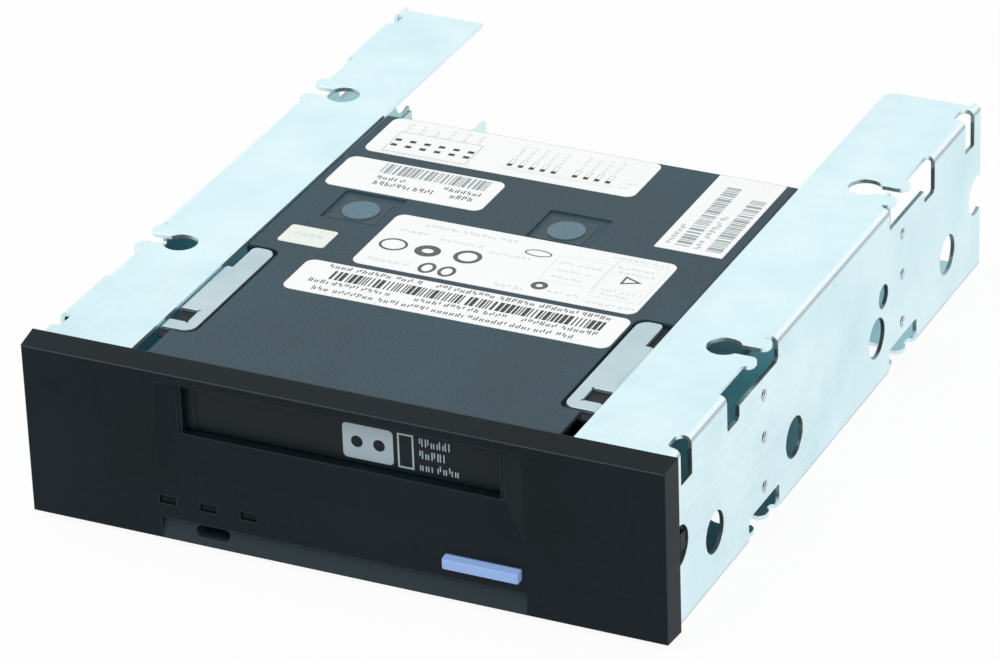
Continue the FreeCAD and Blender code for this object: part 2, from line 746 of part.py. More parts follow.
def bezel():
    """Moulded front: drafted edges, funnel round the slot, sloping ledge along the foot."""
    half = bezel_half
    shape = tapered((half, 0, bezel_bottom, bezel_top),
                    (half - bezel_draft_side, bezel_front, bezel_bottom,
                     bezel_top - bezel_draft_top))
    outline = [edge for edge in shape.Edges if abs(edge.CenterOfMass.y - bezel_front) < 0.01]
    shape = shape.makeFillet(bezel_edge, outline)
    pocket = block(-half + bezel_rim, half - bezel_rim, wall_back, 1,
                   ledge_top + bezel_rim, bezel_top - bezel_rim)
    frame_half = slot_width / 2 + slot_frame
    frame = block(-frame_half, frame_half, wall_back - 0.5, 0,
                  slot_bottom - slot_frame, bezel_top - bezel_rim + 0.5)
    shape = fuse(cut(shape, pocket), frame)

    funnel = tapered(
        (panel_width / 2 + 0.5, bezel_front - panel_depth * 0.1,
         panel_bottom - 1.0, slot_top + 0.5),
        (slot_width / 2, bezel_front + panel_depth, slot_bottom, slot_top))
    slot = block(-slot_width / 2, slot_width / 2, bezel_front - 1, 1, slot_bottom, slot_top)
    door_room = block(-slot_width / 2, slot_width / 2, hinge_y - spring_radius - running, 1,
                      slot_top - 1, bezel_top - bezel_rim)
    ledge = Part.Face(Part.makePolygon([
        V(-panel_width / 2, bezel_front - 1, ledge_top),
        V(-panel_width / 2, bezel_front + ledge_depth, ledge_top),
        V(-panel_width / 2, bezel_front, bezel_bottom + ledge_foot),
        V(-panel_width / 2, bezel_front - 1, bezel_bottom + ledge_foot),
        V(-panel_width / 2, bezel_front - 1, ledge_top)])).extrude(V(panel_width, 0, 0))
    eject_hole = slot_along(
        V(eject_hole_middle - eject_hole_length / 2 + eject_hole_width / 2, 0,
          eject_hole_height),
        V(eject_hole_middle + eject_hole_length / 2 - eject_hole_width / 2, 0,
          eject_hole_height), eject_hole_width / 2, 1, bezel_front - 1, 1)
    windows = [block(middle - light_width / 2, middle + light_width / 2, bezel_front - 1,
                     wall_back + 1, light_level - light_height / 2,
                     light_level + light_height / 2) for middle in light_middles]
    button_hole = block(button_middle - button_width / 2 - running,
                        button_middle + button_width / 2 + running, bezel_front - 1,
                        wall_back + 1, button_level - button_height / 2 - running,
                        button_level + button_height / 2 + running)
    hinge_bores = [rod(hinge_radius + running, V(side * slot_width / 2, hinge_y, hinge_z),
                       V(side * 1.3, 0, 0)) for side in (-1, 1)]
    shape = cut(shape, funnel, slot, door_room, ledge, eject_hole, *windows, button_hole,
                *hinge_bores)
    ribs = [block(*sorted((side * (slot_width / 2 - stop_rib), side * (slot_width / 2 + 0.5))),
                  wall_back - 0.6, door_face - running, slot_bottom, slot_top)
            for side in (-1, 1)]
    return fuse(shape, *ribs, *bezel_hooks())


def bezel_hooks():
    """Snap arms that reach back into the brackets and catch in their front holes."""
    hooks = []
    arm_outside = bay_half - bracket_sheet - running
    low = end_hole_height - bezel_hook_width / 2
    catch_start = end_hole_inset + 1.4
    for side in (-1, 1):
        arm = block(*sorted((side * (arm_outside - 1.6), side * arm_outside)),
                    wall_back - 0.5, catch_start + 2.4, low, low + bezel_hook_width)
        catch = block(*sorted((side * (arm_outside - 0.5), side * (bay_half - running))),
                      catch_start, catch_start + 2.4, low, low + bezel_hook_width)
        hooks.append(fuse(arm, catch))
    return hooks


def cartridge_door():
    """Flap hung from its upper edge, with a trunnion at each end."""
    low = slot_bottom + running
    shape = block(-door_half, door_half, door_face, door_face + door_thickness, low, hinge_z)
    barrel = rod(door_thickness / 2, V(-door_half, hinge_y, hinge_z), V(2 * door_half, 0, 0))
    pins = rod(hinge_radius, V(-slot_width / 2 - 1, hinge_y, hinge_z), V(slot_width + 2, 0, 0))
    band = block(-door_half, -door_half + band_width, door_face - band_rise,
                 door_face + band_rise, low, slot_top - door_thickness)
    spring_room = block(spring_start - running, spring_start + spring_length + running,
                        door_face - 1, door_face + door_thickness + 1,
                        hinge_z - spring_radius - running, hinge_z + 2)
    return fuse(cut(fuse(shape, barrel, band), spring_room), pins)


def eject_button():
    """Key cap with a sloping top, a skirt behind the bezel and a stem to the switch."""
    x0 = button_middle - button_width / 2
    z0 = button_level - button_height / 2
    top = z0 + button_height
    back = wall_back + running + button_skirt
    side = Part.makePolygon([V(x0, front_end, z0), V(x0, back, z0), V(x0, back, top),
                             V(x0, bezel_front, top), V(x0, front_end, top - button_slope),
                             V(x0, front_end, z0)])
    cap = Part.Face(side).extrude(V(button_width, 0, 0))
    corners = [edge for edge in cap.Edges if abs(edge.CenterOfMass.y - front_end) < 0.01
               and is_along(edge, 2)]
    cap = cap.makeFillet(button_corner, corners)
    face_edges = [edge for edge in cap.Edges if abs(edge.CenterOfMass.y - front_end) < 0.2]
    face_edges = [edge for edge in face_edges if abs(edge.BoundBox.ZLength) < 0.01]
    cap = cap.makeFillet(button_edge, face_edges)
    skirt = block(x0 - 1.2, x0 + button_width + 1.2, wall_back + running,
                  wall_back + running + button_skirt, z0 - 1.0, z0 + button_height + 1.0)
    stem = rod(1.6, V(button_middle, wall_back, button_level),
               V(0, switch_tip - button_travel - running - wall_back, 0))
    return fuse(cap, skirt, stem)


def light_pipes():
    """One clear moulding: a bar behind the bezel with a finger for each window."""
    left = light_middles[0] - light_width / 2
    right = light_middles[-1] + light_width / 2
    shape = block(left, right, wall_back + running, wall_back + running + 1.6,
                  light_level - 2.2, light_level + 2.2)
    fingers_out = [block(middle - light_width / 2 + touch, middle + light_width / 2 - touch,
                         bezel_front + 0.5, front_board_face - 1.3,
                         light_level - light_height / 2 + touch,
                         light_level + light_height / 2 - touch) for middle in light_middles]
    return fuse(shape, *fingers_out)


def door_spring():
    """Light torsion spring round the hinge pin, with a leg under the bezel's upper edge."""
    along_pin = V(spring_length, 0, 0)
    coil = rod(spring_radius, V(spring_start, hinge_y, hinge_z), along_pin)
    bore = rod(hinge_radius + touch, V(spring_start - 1, hinge_y, hinge_z), along_pin * 3)
    leg = block(spring_start, spring_start + spring_wire, hinge_y, -touch,
                hinge_z + spring_radius - spring_wire, hinge_z + spring_radius)
    return fuse(coil, leg).cut(bore)


nodes["bezel"] = bezel()
nodes["cartridge_door"] = cartridge_door()
nodes["door_spring"] = door_spring()
nodes["eject_button"] = eject_button()
nodes["light_pipes"] = light_pipes()


# ---------------------------------------------------------------- boards and connectors
def main_board():
    shape = plate(-board_half, board_half, front_board_back, board_rear, board_height, board_top, 0.8)
    holes = [rod(board_screw_radius + touch, V(x, y, board_height - 1),
                 V(0, 0, board_thickness + 2)) for x, y in board_screw_places]
    return cut(shape, *holes)


def board_screws():
    return Part.Compound([pan_screw(V(x, y, board_top), V(0, 0, -1), board_screw_radius,
                                    board_thickness + 1.6) for x, y in board_screw_places])


def board_chips():
    """Flat packages soldered to the main board's upper face."""
    chips = ((-6, 22, 14, 14), (14, 22, 12, 8), (4, 62, 20, 14), (-18, 66, 8, 6),
             (-34, 96, 12, 9), (34, 104, 12, 9), (22, 60, 10, 12))
    return Part.Compound([block(x - w / 2, x + w / 2, y - d / 2, y + d / 2, board_top,
                                board_top + 1.4) for x, y, w, d in chips])


def front_board():
    return block(-board_half + 1, board_half - 1, front_board_face,
                 front_board_back, board_height, front_board_top)


def status_leds():
    return Part.Compound([block(middle - 1.6, middle + 1.6, front_board_face - 1.0,
                                front_board_face, light_level - 0.8, light_level + 0.8)
                          for middle in light_middles])


def eject_switch():
    can = block(button_middle - 3, button_middle + 3, switch_tip + 1.2, front_board_face,
                button_level - 3, button_level + 3)
    tip = rod(1.7, V(button_middle, switch_tip, button_level), V(0, 1.4, 0))
    return fuse(can, tip)


def data_connector():
    """Wide shielded socket: body on the board and a D-shaped collar to the rear."""
    half = data_width / 2
    low = board_top
    body = block(data_middle - half, data_middle + half, rear_panel_front - 7,
                 data_tail - 5, low, low + data_height)
    inset = 2.6
    outline = [V(data_middle - half + inset, data_tail - 6, low + 1.4),
               V(data_middle + half - inset, data_tail - 6, low + 1.4),
               V(data_middle + half - inset - 1.4, data_tail - 6, low + data_height - 1.0),
               V(data_middle - half + inset + 1.4, data_tail - 6, low + data_height - 1.0)]
    outline.append(outline[0])
    collar = Part.Face(Part.makePolygon(outline)).extrude(V(0, 6, 0))
    slit_z = low + 1.4 + (data_height - 2.4) / 2
    slit = block(data_middle - half + inset + 3, data_middle + half - inset - 3,
                 data_tail - 4, data_tail + 1, slit_z - 0.8, slit_z + 0.8)
    ears = [rod(1.2, V(data_middle + side * (half - 1.3), data_tail - 6, slit_z), V(0, 2, 0))
            for side in (-1, 1)]
    return cut(fuse(body, collar), slit, *ears)


def power_connector():
    """Four-way shrouded header with its two upper corners bevelled."""
    x0 = power_middle - power_width / 2
    shape = block(x0, x0 + power_width, power_front, data_tail,
                  board_top, board_top + power_height)
    cavity = block(x0 + power_wall, x0 + power_width - power_wall,
                   power_front + power_back, data_tail + 1,
                   board_top + power_wall, board_top + power_height - power_wall)
    bevels = [edge for edge in cavity.Edges if is_along(edge, 1)
              and edge.CenterOfMass.z > board_top + power_height / 2]
    return cut(shape, cavity.makeChamfer(power_bevel, bevels))


def power_pins():
    level = board_top + power_height / 2
    start = power_front + power_back
    reach = V(0, data_tail - power_pin_recess - start, 0)
    return Part.Compound([rod(power_pin_radius,
                              V(power_middle + (step - 1.5) * power_pitch, start, level),
                              reach) for step in range(4)])


def jumper_header():
    half = jumper_columns * jumper_pitch / 2
    return block(jumper_middle - half, jumper_middle + half, jumper_front,
                 jumper_front + jumper_depth, board_top, board_top + jumper_body)


def jumper_pins():
    pins = []
    start = jumper_front + jumper_depth
    for column in range(jumper_columns):
        x = jumper_middle + (column - (jumper_columns - 1) / 2) * jumper_pitch
        for level in jumper_rows:
            pins.append(block(x - jumper_pin / 2, x + jumper_pin / 2,
                              start, start + jumper_reach,
                              level - jumper_pin / 2, level + jumper_pin / 2))
    return Part.Compound(pins)


def jumper_caps():
    """Two shunts pushed over pairs of pins."""
    caps = []
    half = jumper_pitch / 2 - touch
    start = jumper_front + jumper_depth
    for column in (1, 4):
        x = jumper_middle + (column - (jumper_columns - 1) / 2) * jumper_pitch
        cap = block(x - half, x + half, start + running, start + jumper_reach + running,
                    jumper_rows[0] - half, jumper_rows[1] + half)
        sockets = [block(x - jumper_pin / 2 - touch, x + jumper_pin / 2 + touch,
                         start - 1, start + jumper_reach + touch,
                         level - jumper_pin / 2 - touch, level + jumper_pin / 2 + touch)
                   for level in jumper_rows]
        caps.append(cut(cap, *sockets))
    return Part.Compound(caps)


nodes["main_board"] = main_board()
nodes["board_screws"] = board_screws()
nodes["board_chips"] = board_chips()
nodes["front_board"] = front_board()
nodes["status_leds"] = status_leds()
nodes["eject_switch"] = eject_switch()
nodes["data_connector"] = data_connector()
nodes["power_connector"] = power_connector()
nodes["power_pins"] = power_pins()
nodes["jumper_header"] = jumper_header()
nodes["jumper_pins"] = jumper_pins()
nodes["jumper_caps"] = jumper_caps()


# ---------------------------------------------------------------- deck and cartridge holder
def deck_plate():
    """Mechanism deck: a flat sheet with upturned ears, slots for the slide and carriages."""
    half = plate_inside - touch
    shape = block(-half, half, deck_front, deck_rear, deck_height, deck_top)
    ears = [block(*sorted((side * (half - deck_sheet), side * half)), place - 7, place + 7,
                  deck_height, deck_screw_level + 4)
            for side in (-1, 1) for place in deck_screw_places]
    shape = fuse(shape, *ears)
    low = deck_height - 1
    high = deck_top + 1
    up = V(0, 0, high - low)
    cuts = [block(*sorted((side * (slide_inside - running), side * (slide_outside + running))),
                  slide_front - 0.5, slide_front + slide_length + slide_travel + 0.5,
                  low, high) for side in (-1, 1)]
    cuts += [rod(reel_shaft_radius + running, V(side * reel_spread, reel_place, low), up)
             for side in (-1, 1)]
    cuts += [slot_along(V(side * carriage_start[0], carriage_start[1], 0),
                        V(side * carriage_end[0], carriage_end[1], 0),
                        1.5 + running, 2, low, high) for side in (-1, 1)]
    cuts.append(rod(bearing_radius + touch, V(capstan_x, capstan_y, low), up))
    cuts.append(rod(drum_neck_radius + running + touch, V(0, drum_place, low), up))
    cuts.append(rod(1.5 + running, V(gear_x, gear_y, low), up))
    cuts += [rod(1.2 + touch, V(side * pinch_pivot_x, pinch_pivot_y, low), up)
             for side in (-1, 1)]
    holes = [rod(side_hole_radius + touch, V(half + 1, y, deck_screw_level),
                 V(-2 - deck_sheet, 0, 0)) for y in deck_screw_places]
    holes += [mirrored(hole) for hole in holes]
    return cut(shape, *cuts, *holes)


def deck_screws():
    """Screws from outside through the side plates into the deck's ears."""
    screws = []
    for side in (-1, 1):
        for place in deck_screw_places:
            screws.append(pan_screw(V(side * drive_half, place, deck_screw_level),
                                    V(-side, 0, 0), side_hole_radius,
                                    plate_sheet + deck_sheet + 1.0))
    return Part.Compound(screws)


def cartridge_holder():
    """Folded tray, open in front, behind and below, with guide pins on its sides."""
    sheet = holder_sheet
    roof_top = holder_roof + sheet
    shape = block(-holder_outside, holder_outside, holder_front, holder_rear,
                  holder_floor - sheet, roof_top)
    shape = round_edges(shape, sheet * 1.2, 1)
    hollow = block(-holder_inside, holder_inside, holder_front - 1, holder_rear + 1,
                   holder_floor, holder_roof)
    underside = block(-holder_inside + holder_flange, holder_inside - holder_flange,
                      holder_front - 1, holder_rear + 1, holder_floor - sheet - 1,
                      holder_floor + 1)
    window = plate(-holder_window / 2, holder_window / 2, holder_front + holder_window_front,
                   holder_rear - holder_window_rear, holder_roof - 1, roof_top + 1, 3.0)
    shape = cut(shape, hollow, underside, window)
    stops = [block(*sorted((side * (holder_inside - holder_flange), side * holder_outside)),
                   holder_rear - sheet, holder_rear, holder_floor - sheet / 2,
                   holder_roof + sheet / 2) for side in (-1, 1)]
    pins = [rod(pin_radius, V(side * (holder_inside + sheet / 2), place, pin_height),
                V(side * (slide_outside + 0.4 - holder_inside - sheet / 2), 0, 0))
            for side in (-1, 1) for place in pin_places]
    return fuse(shape, *stops, *pins)


def lift_guide():
    """Upright beside the holder with two straight slots for its pins."""
    front = pin_places[0] - 8
    rear = pin_places[1] + 6
    wall = block(guide_inside, guide_inside + guide_sheet, front, rear, deck_top, slide_top)
    foot = block(guide_inside - 5, guide_inside + guide_sheet, front, rear, deck_top,
                 deck_top + guide_sheet)
    shape = fuse(wall, foot)
    shape = round_edges(shape, guide_sheet * 0.9, 1,
                        lambda point: point.x > guide_inside + 0.9 and point.z < deck_top + 0.1)
    cuts = [slot_along(V(0, place, pin_height - lift), V(0, place, pin_height),
                       pin_slot / 2, 0, guide_inside - 1, guide_inside + guide_sheet + 1)
            for place in pin_places]
    return cut(shape, *cuts)


def loading_slide():
    """Folded slide below the deck: two upright cam walls with sloping slots, and a rack."""
    rear = slide_front + slide_length
    low = slide_low
    web_top = deck_height - 2 * running
    walls = [block(*sorted((side * slide_inside, side * slide_outside)), slide_front, rear,
                   low, slide_top) for side in (-1, 1)]
    web = block(-slide_outside, slide_outside, slide_front + 1, slide_front + 7, low, web_top)
    rack_front = gear_y - slide_travel - 2.5
    rack_rear = gear_y + 3.5
    root_line = rack_line - rack_module * 1.2
    foot = block(-slide_outside, -slide_inside, rack_front, rack_rear, low - rack_depth, low + 1)
    bar = block(-slide_inside - 0.1, root_line, rack_front, rack_rear, low - rack_depth, low)
    pitch = pi * rack_module
    half_tooth = (pitch / 2 - running) / 2
    teeth = []
    first = gear_y - pitch / 2
    for step in range(-5, 2):
        y = first + step * pitch
        outline = [V(root_line - 0.1, y - half_tooth * 1.45, low - rack_depth),
                   V(rack_line + rack_module * 0.8, y - half_tooth * 0.55, low - rack_depth),
                   V(rack_line + rack_module * 0.8, y + half_tooth * 0.55, low - rack_depth),
                   V(root_line - 0.1, y + half_tooth * 1.45, low - rack_depth)]
        outline.append(outline[0])
        teeth.append(Part.Face(Part.makePolygon(outline)).extrude(V(0, 0, rack_depth)))
    shape = fuse(walls[0], walls[1], web, foot, bar, *teeth)
    cuts = []
    for side in (-1, 1):
        for place in pin_places:
            cuts.append(slot_along(V(0, place, pin_height),
                                   V(0, place - slide_travel, pin_height - lift),
                                   pin_slot / 2, 0,
                                   *sorted((side * (slide_inside - 1),
                                            side * (slide_outside + 1)))))
    return cut(shape, *cuts)


def loading_gear():
    """Worm wheel and pinion in one moulding, on a pin that runs in the deck."""
    pinion_low = slide_low - rack_depth
    wheel = spur_gear(wheel_teeth, wheel_module, gear_x, gear_y, worm_level - 1.1,
                      worm_level + 1.1, 0.1, 0)
    hub = rod(pinion_radius - rack_module * 1.4, V(gear_x, gear_y, worm_level),
              V(0, 0, deck_height - running - worm_level))
    pinion = spur_gear(pinion_teeth, rack_module, gear_x, gear_y, pinion_low,
                       slide_low, running, 180)
    axle = rod(1.5, V(gear_x, gear_y, worm_level - 2.2), V(0, 0, deck_top - worm_level + 2.2))
    return fuse(wheel, hub, pinion, axle)


def loading_worm():
    """Worm on the motor's shaft, drawn as a row of raised threads."""
    start = motor_front + motor_length
    end = gear_y + wheel_radius
    shaft = rod(0.75, V(worm_x, start, worm_level), V(0, end - start, 0))
    worm_start = gear_y - wheel_radius * 0.7
    core = rod(worm_radius * 0.72, V(worm_x, worm_start, worm_level),
               V(0, wheel_radius * 1.4, 0))
    pitch = pi * wheel_module
    threads = []
    for step in range(int(wheel_radius * 1.4 / pitch)):
        y = worm_start + (step + 0.3) * pitch
        lower = Part.makeCone(worm_radius * 0.72, worm_radius, pitch * 0.3,
                              V(worm_x, y, worm_level), V(0, 1, 0))
        upper = Part.makeCone(worm_radius, worm_radius * 0.72, pitch * 0.3,
                              V(worm_x, y + pitch * 0.3, worm_level), V(0, 1, 0))
        threads += [lower, upper]
    return fuse(shaft, core, *threads)


def loading_motor():
    """Small can motor lying below the deck, on a cradle from the deck's underside."""
    middle = V(worm_x, motor_front, worm_level)
    can = rod(motor_radius, middle, V(0, motor_length, 0))
    flat = block(worm_x - motor_radius - 1, worm_x + motor_radius + 1, motor_front - 1,
                 motor_front + motor_length + 1, worm_level + motor_radius - 0.5,
                 worm_level + motor_radius + 1)
    can = can.cut(flat)
    boss = rod(1.6, middle + V(0, motor_length, 0), V(0, 1.0, 0))
    cradle = block(worm_x - 3, -slide_outside - running, motor_front + 2,
                   motor_front + motor_length - 2, worm_level + motor_radius - 1.5,
                   deck_height)
    shape = fuse(can, boss, cradle)
    bore = rod(0.75 + touch, middle + V(0, motor_length - 3, 0), V(0, 5, 0))
    return shape.cut(bore)


nodes["deck_plate"] = deck_plate()
nodes["deck_screws"] = deck_screws()
nodes["cartridge_holder"] = cartridge_holder()
nodes["right_lift_guide"] = lift_guide()
nodes["left_lift_guide"] = mirrored(lift_guide())
nodes["loading_slide"] = loading_slide()
nodes["loading_gear"] = loading_gear()
nodes["loading_worm"] = loading_worm()
nodes["loading_motor"] = loading_motor()


# ---------------------------------------------------------------- tape path
def reel_table(side):
    """Turntable with a splined spindle, on a shaft that drops through the deck."""
    x = side * reel_spread
    low = deck_top + running
    disc = rod(reel_radius, V(x, reel_place, low), V(0, 0, 1.6))
    rim = rod(reel_radius, V(x, reel_place, low + 1.6), V(0, 0, 0.5))
    rim = rim.cut(rod(reel_radius - 1.2, V(x, reel_place, low + 1.6), V(0, 0, 0.6)))
    collar = rod(spindle_radius + 1.2, V(x, reel_place, low + 1.6), V(0, 0, 0.5))
    spindle = rod(spindle_radius - 0.8, V(x, reel_place, low), V(0, 0, spindle_top - low - 1))
    nose = Part.makeCone(spindle_radius - 0.8, 1.0, 1.0, V(x, reel_place, spindle_top - 1),
                         V(0, 0, 1))
    shaft = rod(reel_shaft_radius, V(x, reel_place, slide_low - 0.2),
                V(0, 0, low - slide_low + 0.4))
    splines = []
    for turn in range(3):
        spline = block(spindle_radius - 1.4, spindle_radius, -0.5, 0.5, 0,
                       spindle_top - low - 1.6)
        spline.rotate(V(0, 0, 0), V(0, 0, 1), 120 * turn)
        spline.translate(V(x, reel_place, low))
        splines.append(spline)
    return fuse(disc, rim, collar, spindle, nose, shaft, *splines)


def reel_motors():
    """Flat motors below the deck, one under each turntable."""
    low = slide_low - running - 0.2 - reel_motor_depth
    return Part.Compound([rod(reel_motor_radius, V(side * reel_spread, reel_place, low),
                              V(0, 0, reel_motor_depth)) for side in (-1, 1)])


tilt = V(sin(radians(drum_tilt)), 0, cos(radians(drum_tilt)))
drum_floor = V(0, drum_place, deck_top + 1.6)


def drum_base():
    """Fixed lower drum on its tilted seat, with the helical tape shoulder."""
    seat = block(-drum_radius, drum_radius, drum_place - 9, drum_place + 9, deck_top,
                 deck_top + 1.2)
    body = rod(drum_radius, drum_floor, tilt * drum_base_height)
    lower = rod(drum_radius - 2.5, drum_floor - tilt * 1.2, tilt * 1.5)
    shaft = rod(1.5, drum_floor, tilt * (drum_base_height + drum_height + 1.0))
    shoulder = rod(drum_radius + 0.8, drum_floor, tilt)
    around = 2 * drum_radius
    below = block(-around, around, drum_place - around, drum_place + around, 0, deck_top)
    body = fuse(body, lower, shaft, shoulder, seat)
    return body.cut(below)


def head_drum():
    """Turning upper drum: polished cylinder with head windows and a hub."""
    start = drum_floor + tilt * (drum_base_height + running)
    shape = rod(drum_radius, start, tilt * (drum_height - 2.4))
    step_up = rod(drum_radius - 3, start, tilt * (drum_height - 1.2))
    hub = rod(4.0, start, tilt * (drum_height - 0.4))
    shape = fuse(shape, step_up, hub)
    bore = rod(1.5 + running, start - tilt, tilt * (drum_height + 2))
    cuts = [bore]
    for turn in range(4):
        window = block(drum_radius - 2, drum_radius + 1, -1.2, 1.2, -1, 1.6)
        window.rotate(V(0, 0, 0), V(0, 0, 1), 45 + 90 * turn)
        window.rotate(V(0, 0, 0), V(0, 1, 0), drum_tilt)
        window.translate(start)
        cuts.append(window)
    for turn in range(2):
        hole = rod(1.1, V(7.5, 0, drum_height - 3.2), V(0, 0, 4))
        hole.rotate(V(0, 0, 0), V(0, 0, 1), 180 * turn)
        hole.rotate(V(0, 0, 0), V(0, 1, 0), drum_tilt)
        hole.translate(start)
        cuts.append(hole)
    return cut(shape, *cuts)


def drum_motor():
    """Flat motor that turns the drum, hung below the deck on a short neck."""
    can_top = deck_height - 2 * running
    can = rod(drum_motor_radius, V(0, drum_place, can_top - drum_motor_height),
              V(0, 0, drum_motor_height))
    neck = rod(drum_neck_radius, V(0, drum_place, can_top - 1), V(0, 0, deck_top - can_top + 1))
    return fuse(can, neck)


def capstan_shaft():
    low = flywheel_low - 2 * running
    return rod(capstan_radius, V(capstan_x, capstan_y, low), V(0, 0, capstan_top - low))


def capstan_flywheel():
    low = flywheel_low
    middle = V(capstan_x, capstan_y, low)
    floor = V(capstan_x, capstan_y, low + flywheel_thick - flywheel_groove)
    wheel = rod(flywheel_radius, middle, V(0, 0, flywheel_thick))
    hub = rod(flywheel_hub_radius, middle, V(0, 0, flywheel_hub_height))
    groove = rod(flywheel_radius * 0.8, floor, V(0, 0, flywheel_thick))
    groove = groove.cut(rod(flywheel_hub_radius + 1, floor, V(0, 0, flywheel_thick)))
    bore = rod(capstan_radius, middle, V(0, 0, flywheel_hub_height))
    return cut(fuse(wheel.cut(groove), hub), bore)


def capstan_bearing():
    low = flywheel_low + flywheel_hub_height + running
    top = deck_top + bearing_flange
    sleeve = rod(bearing_radius, V(capstan_x, capstan_y, low), V(0, 0, top - low))
    flange = rod(bearing_radius + 1.4, V(capstan_x, capstan_y, deck_top),
                 V(0, 0, bearing_flange))
    bore = rod(capstan_radius + touch, V(capstan_x, capstan_y, low), V(0, 0, top - low))
    return fuse(sleeve, flange).cut(bore)


pinch_pivot = V(pinch_pivot_x, pinch_pivot_y, pinch_level)
pressed = V(capstan_x, capstan_y, pinch_level) + V(
    cos(radians(pinch_approach)), sin(radians(pinch_approach)), 0) * (
    capstan_radius + pinch_radius + running)
pinch_reach = pressed - pinch_pivot
pinch_angle = degrees(atan2(pinch_reach.y, pinch_reach.x)) + pinch_swing
pinch_arm_length = hypot(pinch_reach.x, pinch_reach.y)
pinch_rest = pinch_pivot + V(cos(radians(pinch_angle)), sin(radians(pinch_angle)), 0) * (
    pinch_arm_length)


def swing_arm(pivot, end, pin_reach, end_reach, end_pin_radius):
    """Flat arm with a pivot pin into the deck and an upright pin at its free end."""
    low = pivot.z
    bar = slot_along(V(pivot.x, pivot.y, 0), V(end.x, end.y, 0), 2.0, 2, low, low + 1.2)
    pin = rod(1.2, V(pivot.x, pivot.y, low - pin_reach), V(0, 0, pin_reach + 3.0))
    post = rod(end_pin_radius, V(end.x, end.y, low), V(0, 0, end_reach))
    return fuse(bar, pin, post)


def pinch_arm():
    return swing_arm(pinch_pivot, pinch_rest, pinch_level - deck_height + 0.4,
                     spindle_top - pinch_level, 1.0)


def pinch_roller():
    low = pinch_level + 1.2 + running
    roller = rod(pinch_radius, V(pinch_rest.x, pinch_rest.y, low),
                 V(0, 0, spindle_top - 1 - low))
    bore = rod(1.0 + running, V(pinch_rest.x, pinch_rest.y, low - 1), V(0, 0, 12))
    return roller.cut(bore)


def tension_arm():
    pivot = V(-pinch_pivot_x, pinch_pivot_y, pinch_level)
    end = V(-pinch_rest.x, pinch_rest.y, pinch_level)
    return swing_arm(pivot, end, pinch_level - deck_height + 0.4,
                     spindle_top - pinch_level, 1.3)


def guide_carriage(side):
    """Block that runs in a deck slot and carries the tape round the drum on its posts."""
    x = side * carriage_start[0]
    y = carriage_start[1]
    low = deck_top + running
    half = carriage_size / 2
    body = plate(x - half, x + half, y - half, y + half, low, low + 2.2, 1.5)
    roller = rod(2.0, V(x, y, low + 2.2), V(0, 0, spindle_top - low - 2.2))
    waist = rod(2.0, V(x, y, low + 3.0), V(0, 0, spindle_top - low - 3.8))
    waist = waist.cut(rod(1.6, V(x, y, low + 2.0), V(0, 0, spindle_top)))
    foot = rod(1.5, V(x, y, deck_height - 0.4), V(0, 0, low - deck_height + 1))
    return fuse(body, roller, foot).cut(waist)


nodes["supply_reel_table"] = reel_table(-1)
nodes["takeup_reel_table"] = reel_table(1)
nodes["reel_motors"] = reel_motors()
nodes["drum_base"] = drum_base()
nodes["head_drum"] = head_drum()
nodes["drum_motor"] = drum_motor()
nodes["capstan_shaft"] = capstan_shaft()
nodes["capstan_flywheel"] = capstan_flywheel()
nodes["capstan_bearing"] = capstan_bearing()
nodes["pinch_arm"] = pinch_arm()
nodes["pinch_roller"] = pinch_roller()
nodes["tension_arm"] = tension_arm()
nodes["left_guide_carriage"] = guide_carriage(-1)
nodes["right_guide_carriage"] = guide_carriage(1)

# ---------------------------------------------------------------- place and write
middle_depth = (front_end + bracket_length) / 2
os.makedirs("parts", exist_ok=True)
for name, shape in nodes.items():
    shape.translate(V(0, -middle_depth, 0))
    shape.exportStep("parts/" + name + ".step")
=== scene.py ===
# %% [markdown]
# # Dressing a data tape drive
# The drive is a narrow metal box held between two folded bay brackets, with a moulded
# bezel across the front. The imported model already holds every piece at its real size, so
# this lesson gives those pieces their finish, adds what is printed, soldered or plated on
# them, and lights the whole for a catalogue view. Everything is in metres, in the frame
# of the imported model.

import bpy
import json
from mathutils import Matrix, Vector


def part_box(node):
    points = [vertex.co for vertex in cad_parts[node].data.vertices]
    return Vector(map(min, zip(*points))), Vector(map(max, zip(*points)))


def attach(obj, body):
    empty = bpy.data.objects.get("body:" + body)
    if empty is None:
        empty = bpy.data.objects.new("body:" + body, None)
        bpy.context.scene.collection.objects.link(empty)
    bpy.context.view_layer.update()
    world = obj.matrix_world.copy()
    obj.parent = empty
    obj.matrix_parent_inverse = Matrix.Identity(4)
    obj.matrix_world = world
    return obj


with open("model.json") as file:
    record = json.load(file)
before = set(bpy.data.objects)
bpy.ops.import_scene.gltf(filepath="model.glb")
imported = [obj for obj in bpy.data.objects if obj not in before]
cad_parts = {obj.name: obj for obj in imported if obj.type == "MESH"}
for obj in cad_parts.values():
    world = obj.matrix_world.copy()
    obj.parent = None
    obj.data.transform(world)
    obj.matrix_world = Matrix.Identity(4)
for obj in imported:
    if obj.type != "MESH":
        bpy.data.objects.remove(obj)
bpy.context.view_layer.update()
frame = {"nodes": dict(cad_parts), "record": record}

# %% [markdown]
# ## Tools for the whole lesson
# Blender's operators act on whatever is selected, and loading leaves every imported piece
# selected. So the first helper clears the selection, and a second one moves an object's
# place, turn and scale into its mesh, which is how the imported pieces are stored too. The
# others join pieces and apply a modifier.

# %% Small helpers
import json
from math import pi, radians
from random import Random

import bpy
import bmesh
from mathutils import Matrix, Vector

mm = 0.001
nodes = frame["nodes"]


def deselect():
    bpy.ops.object.select_all(action="DESELECT")


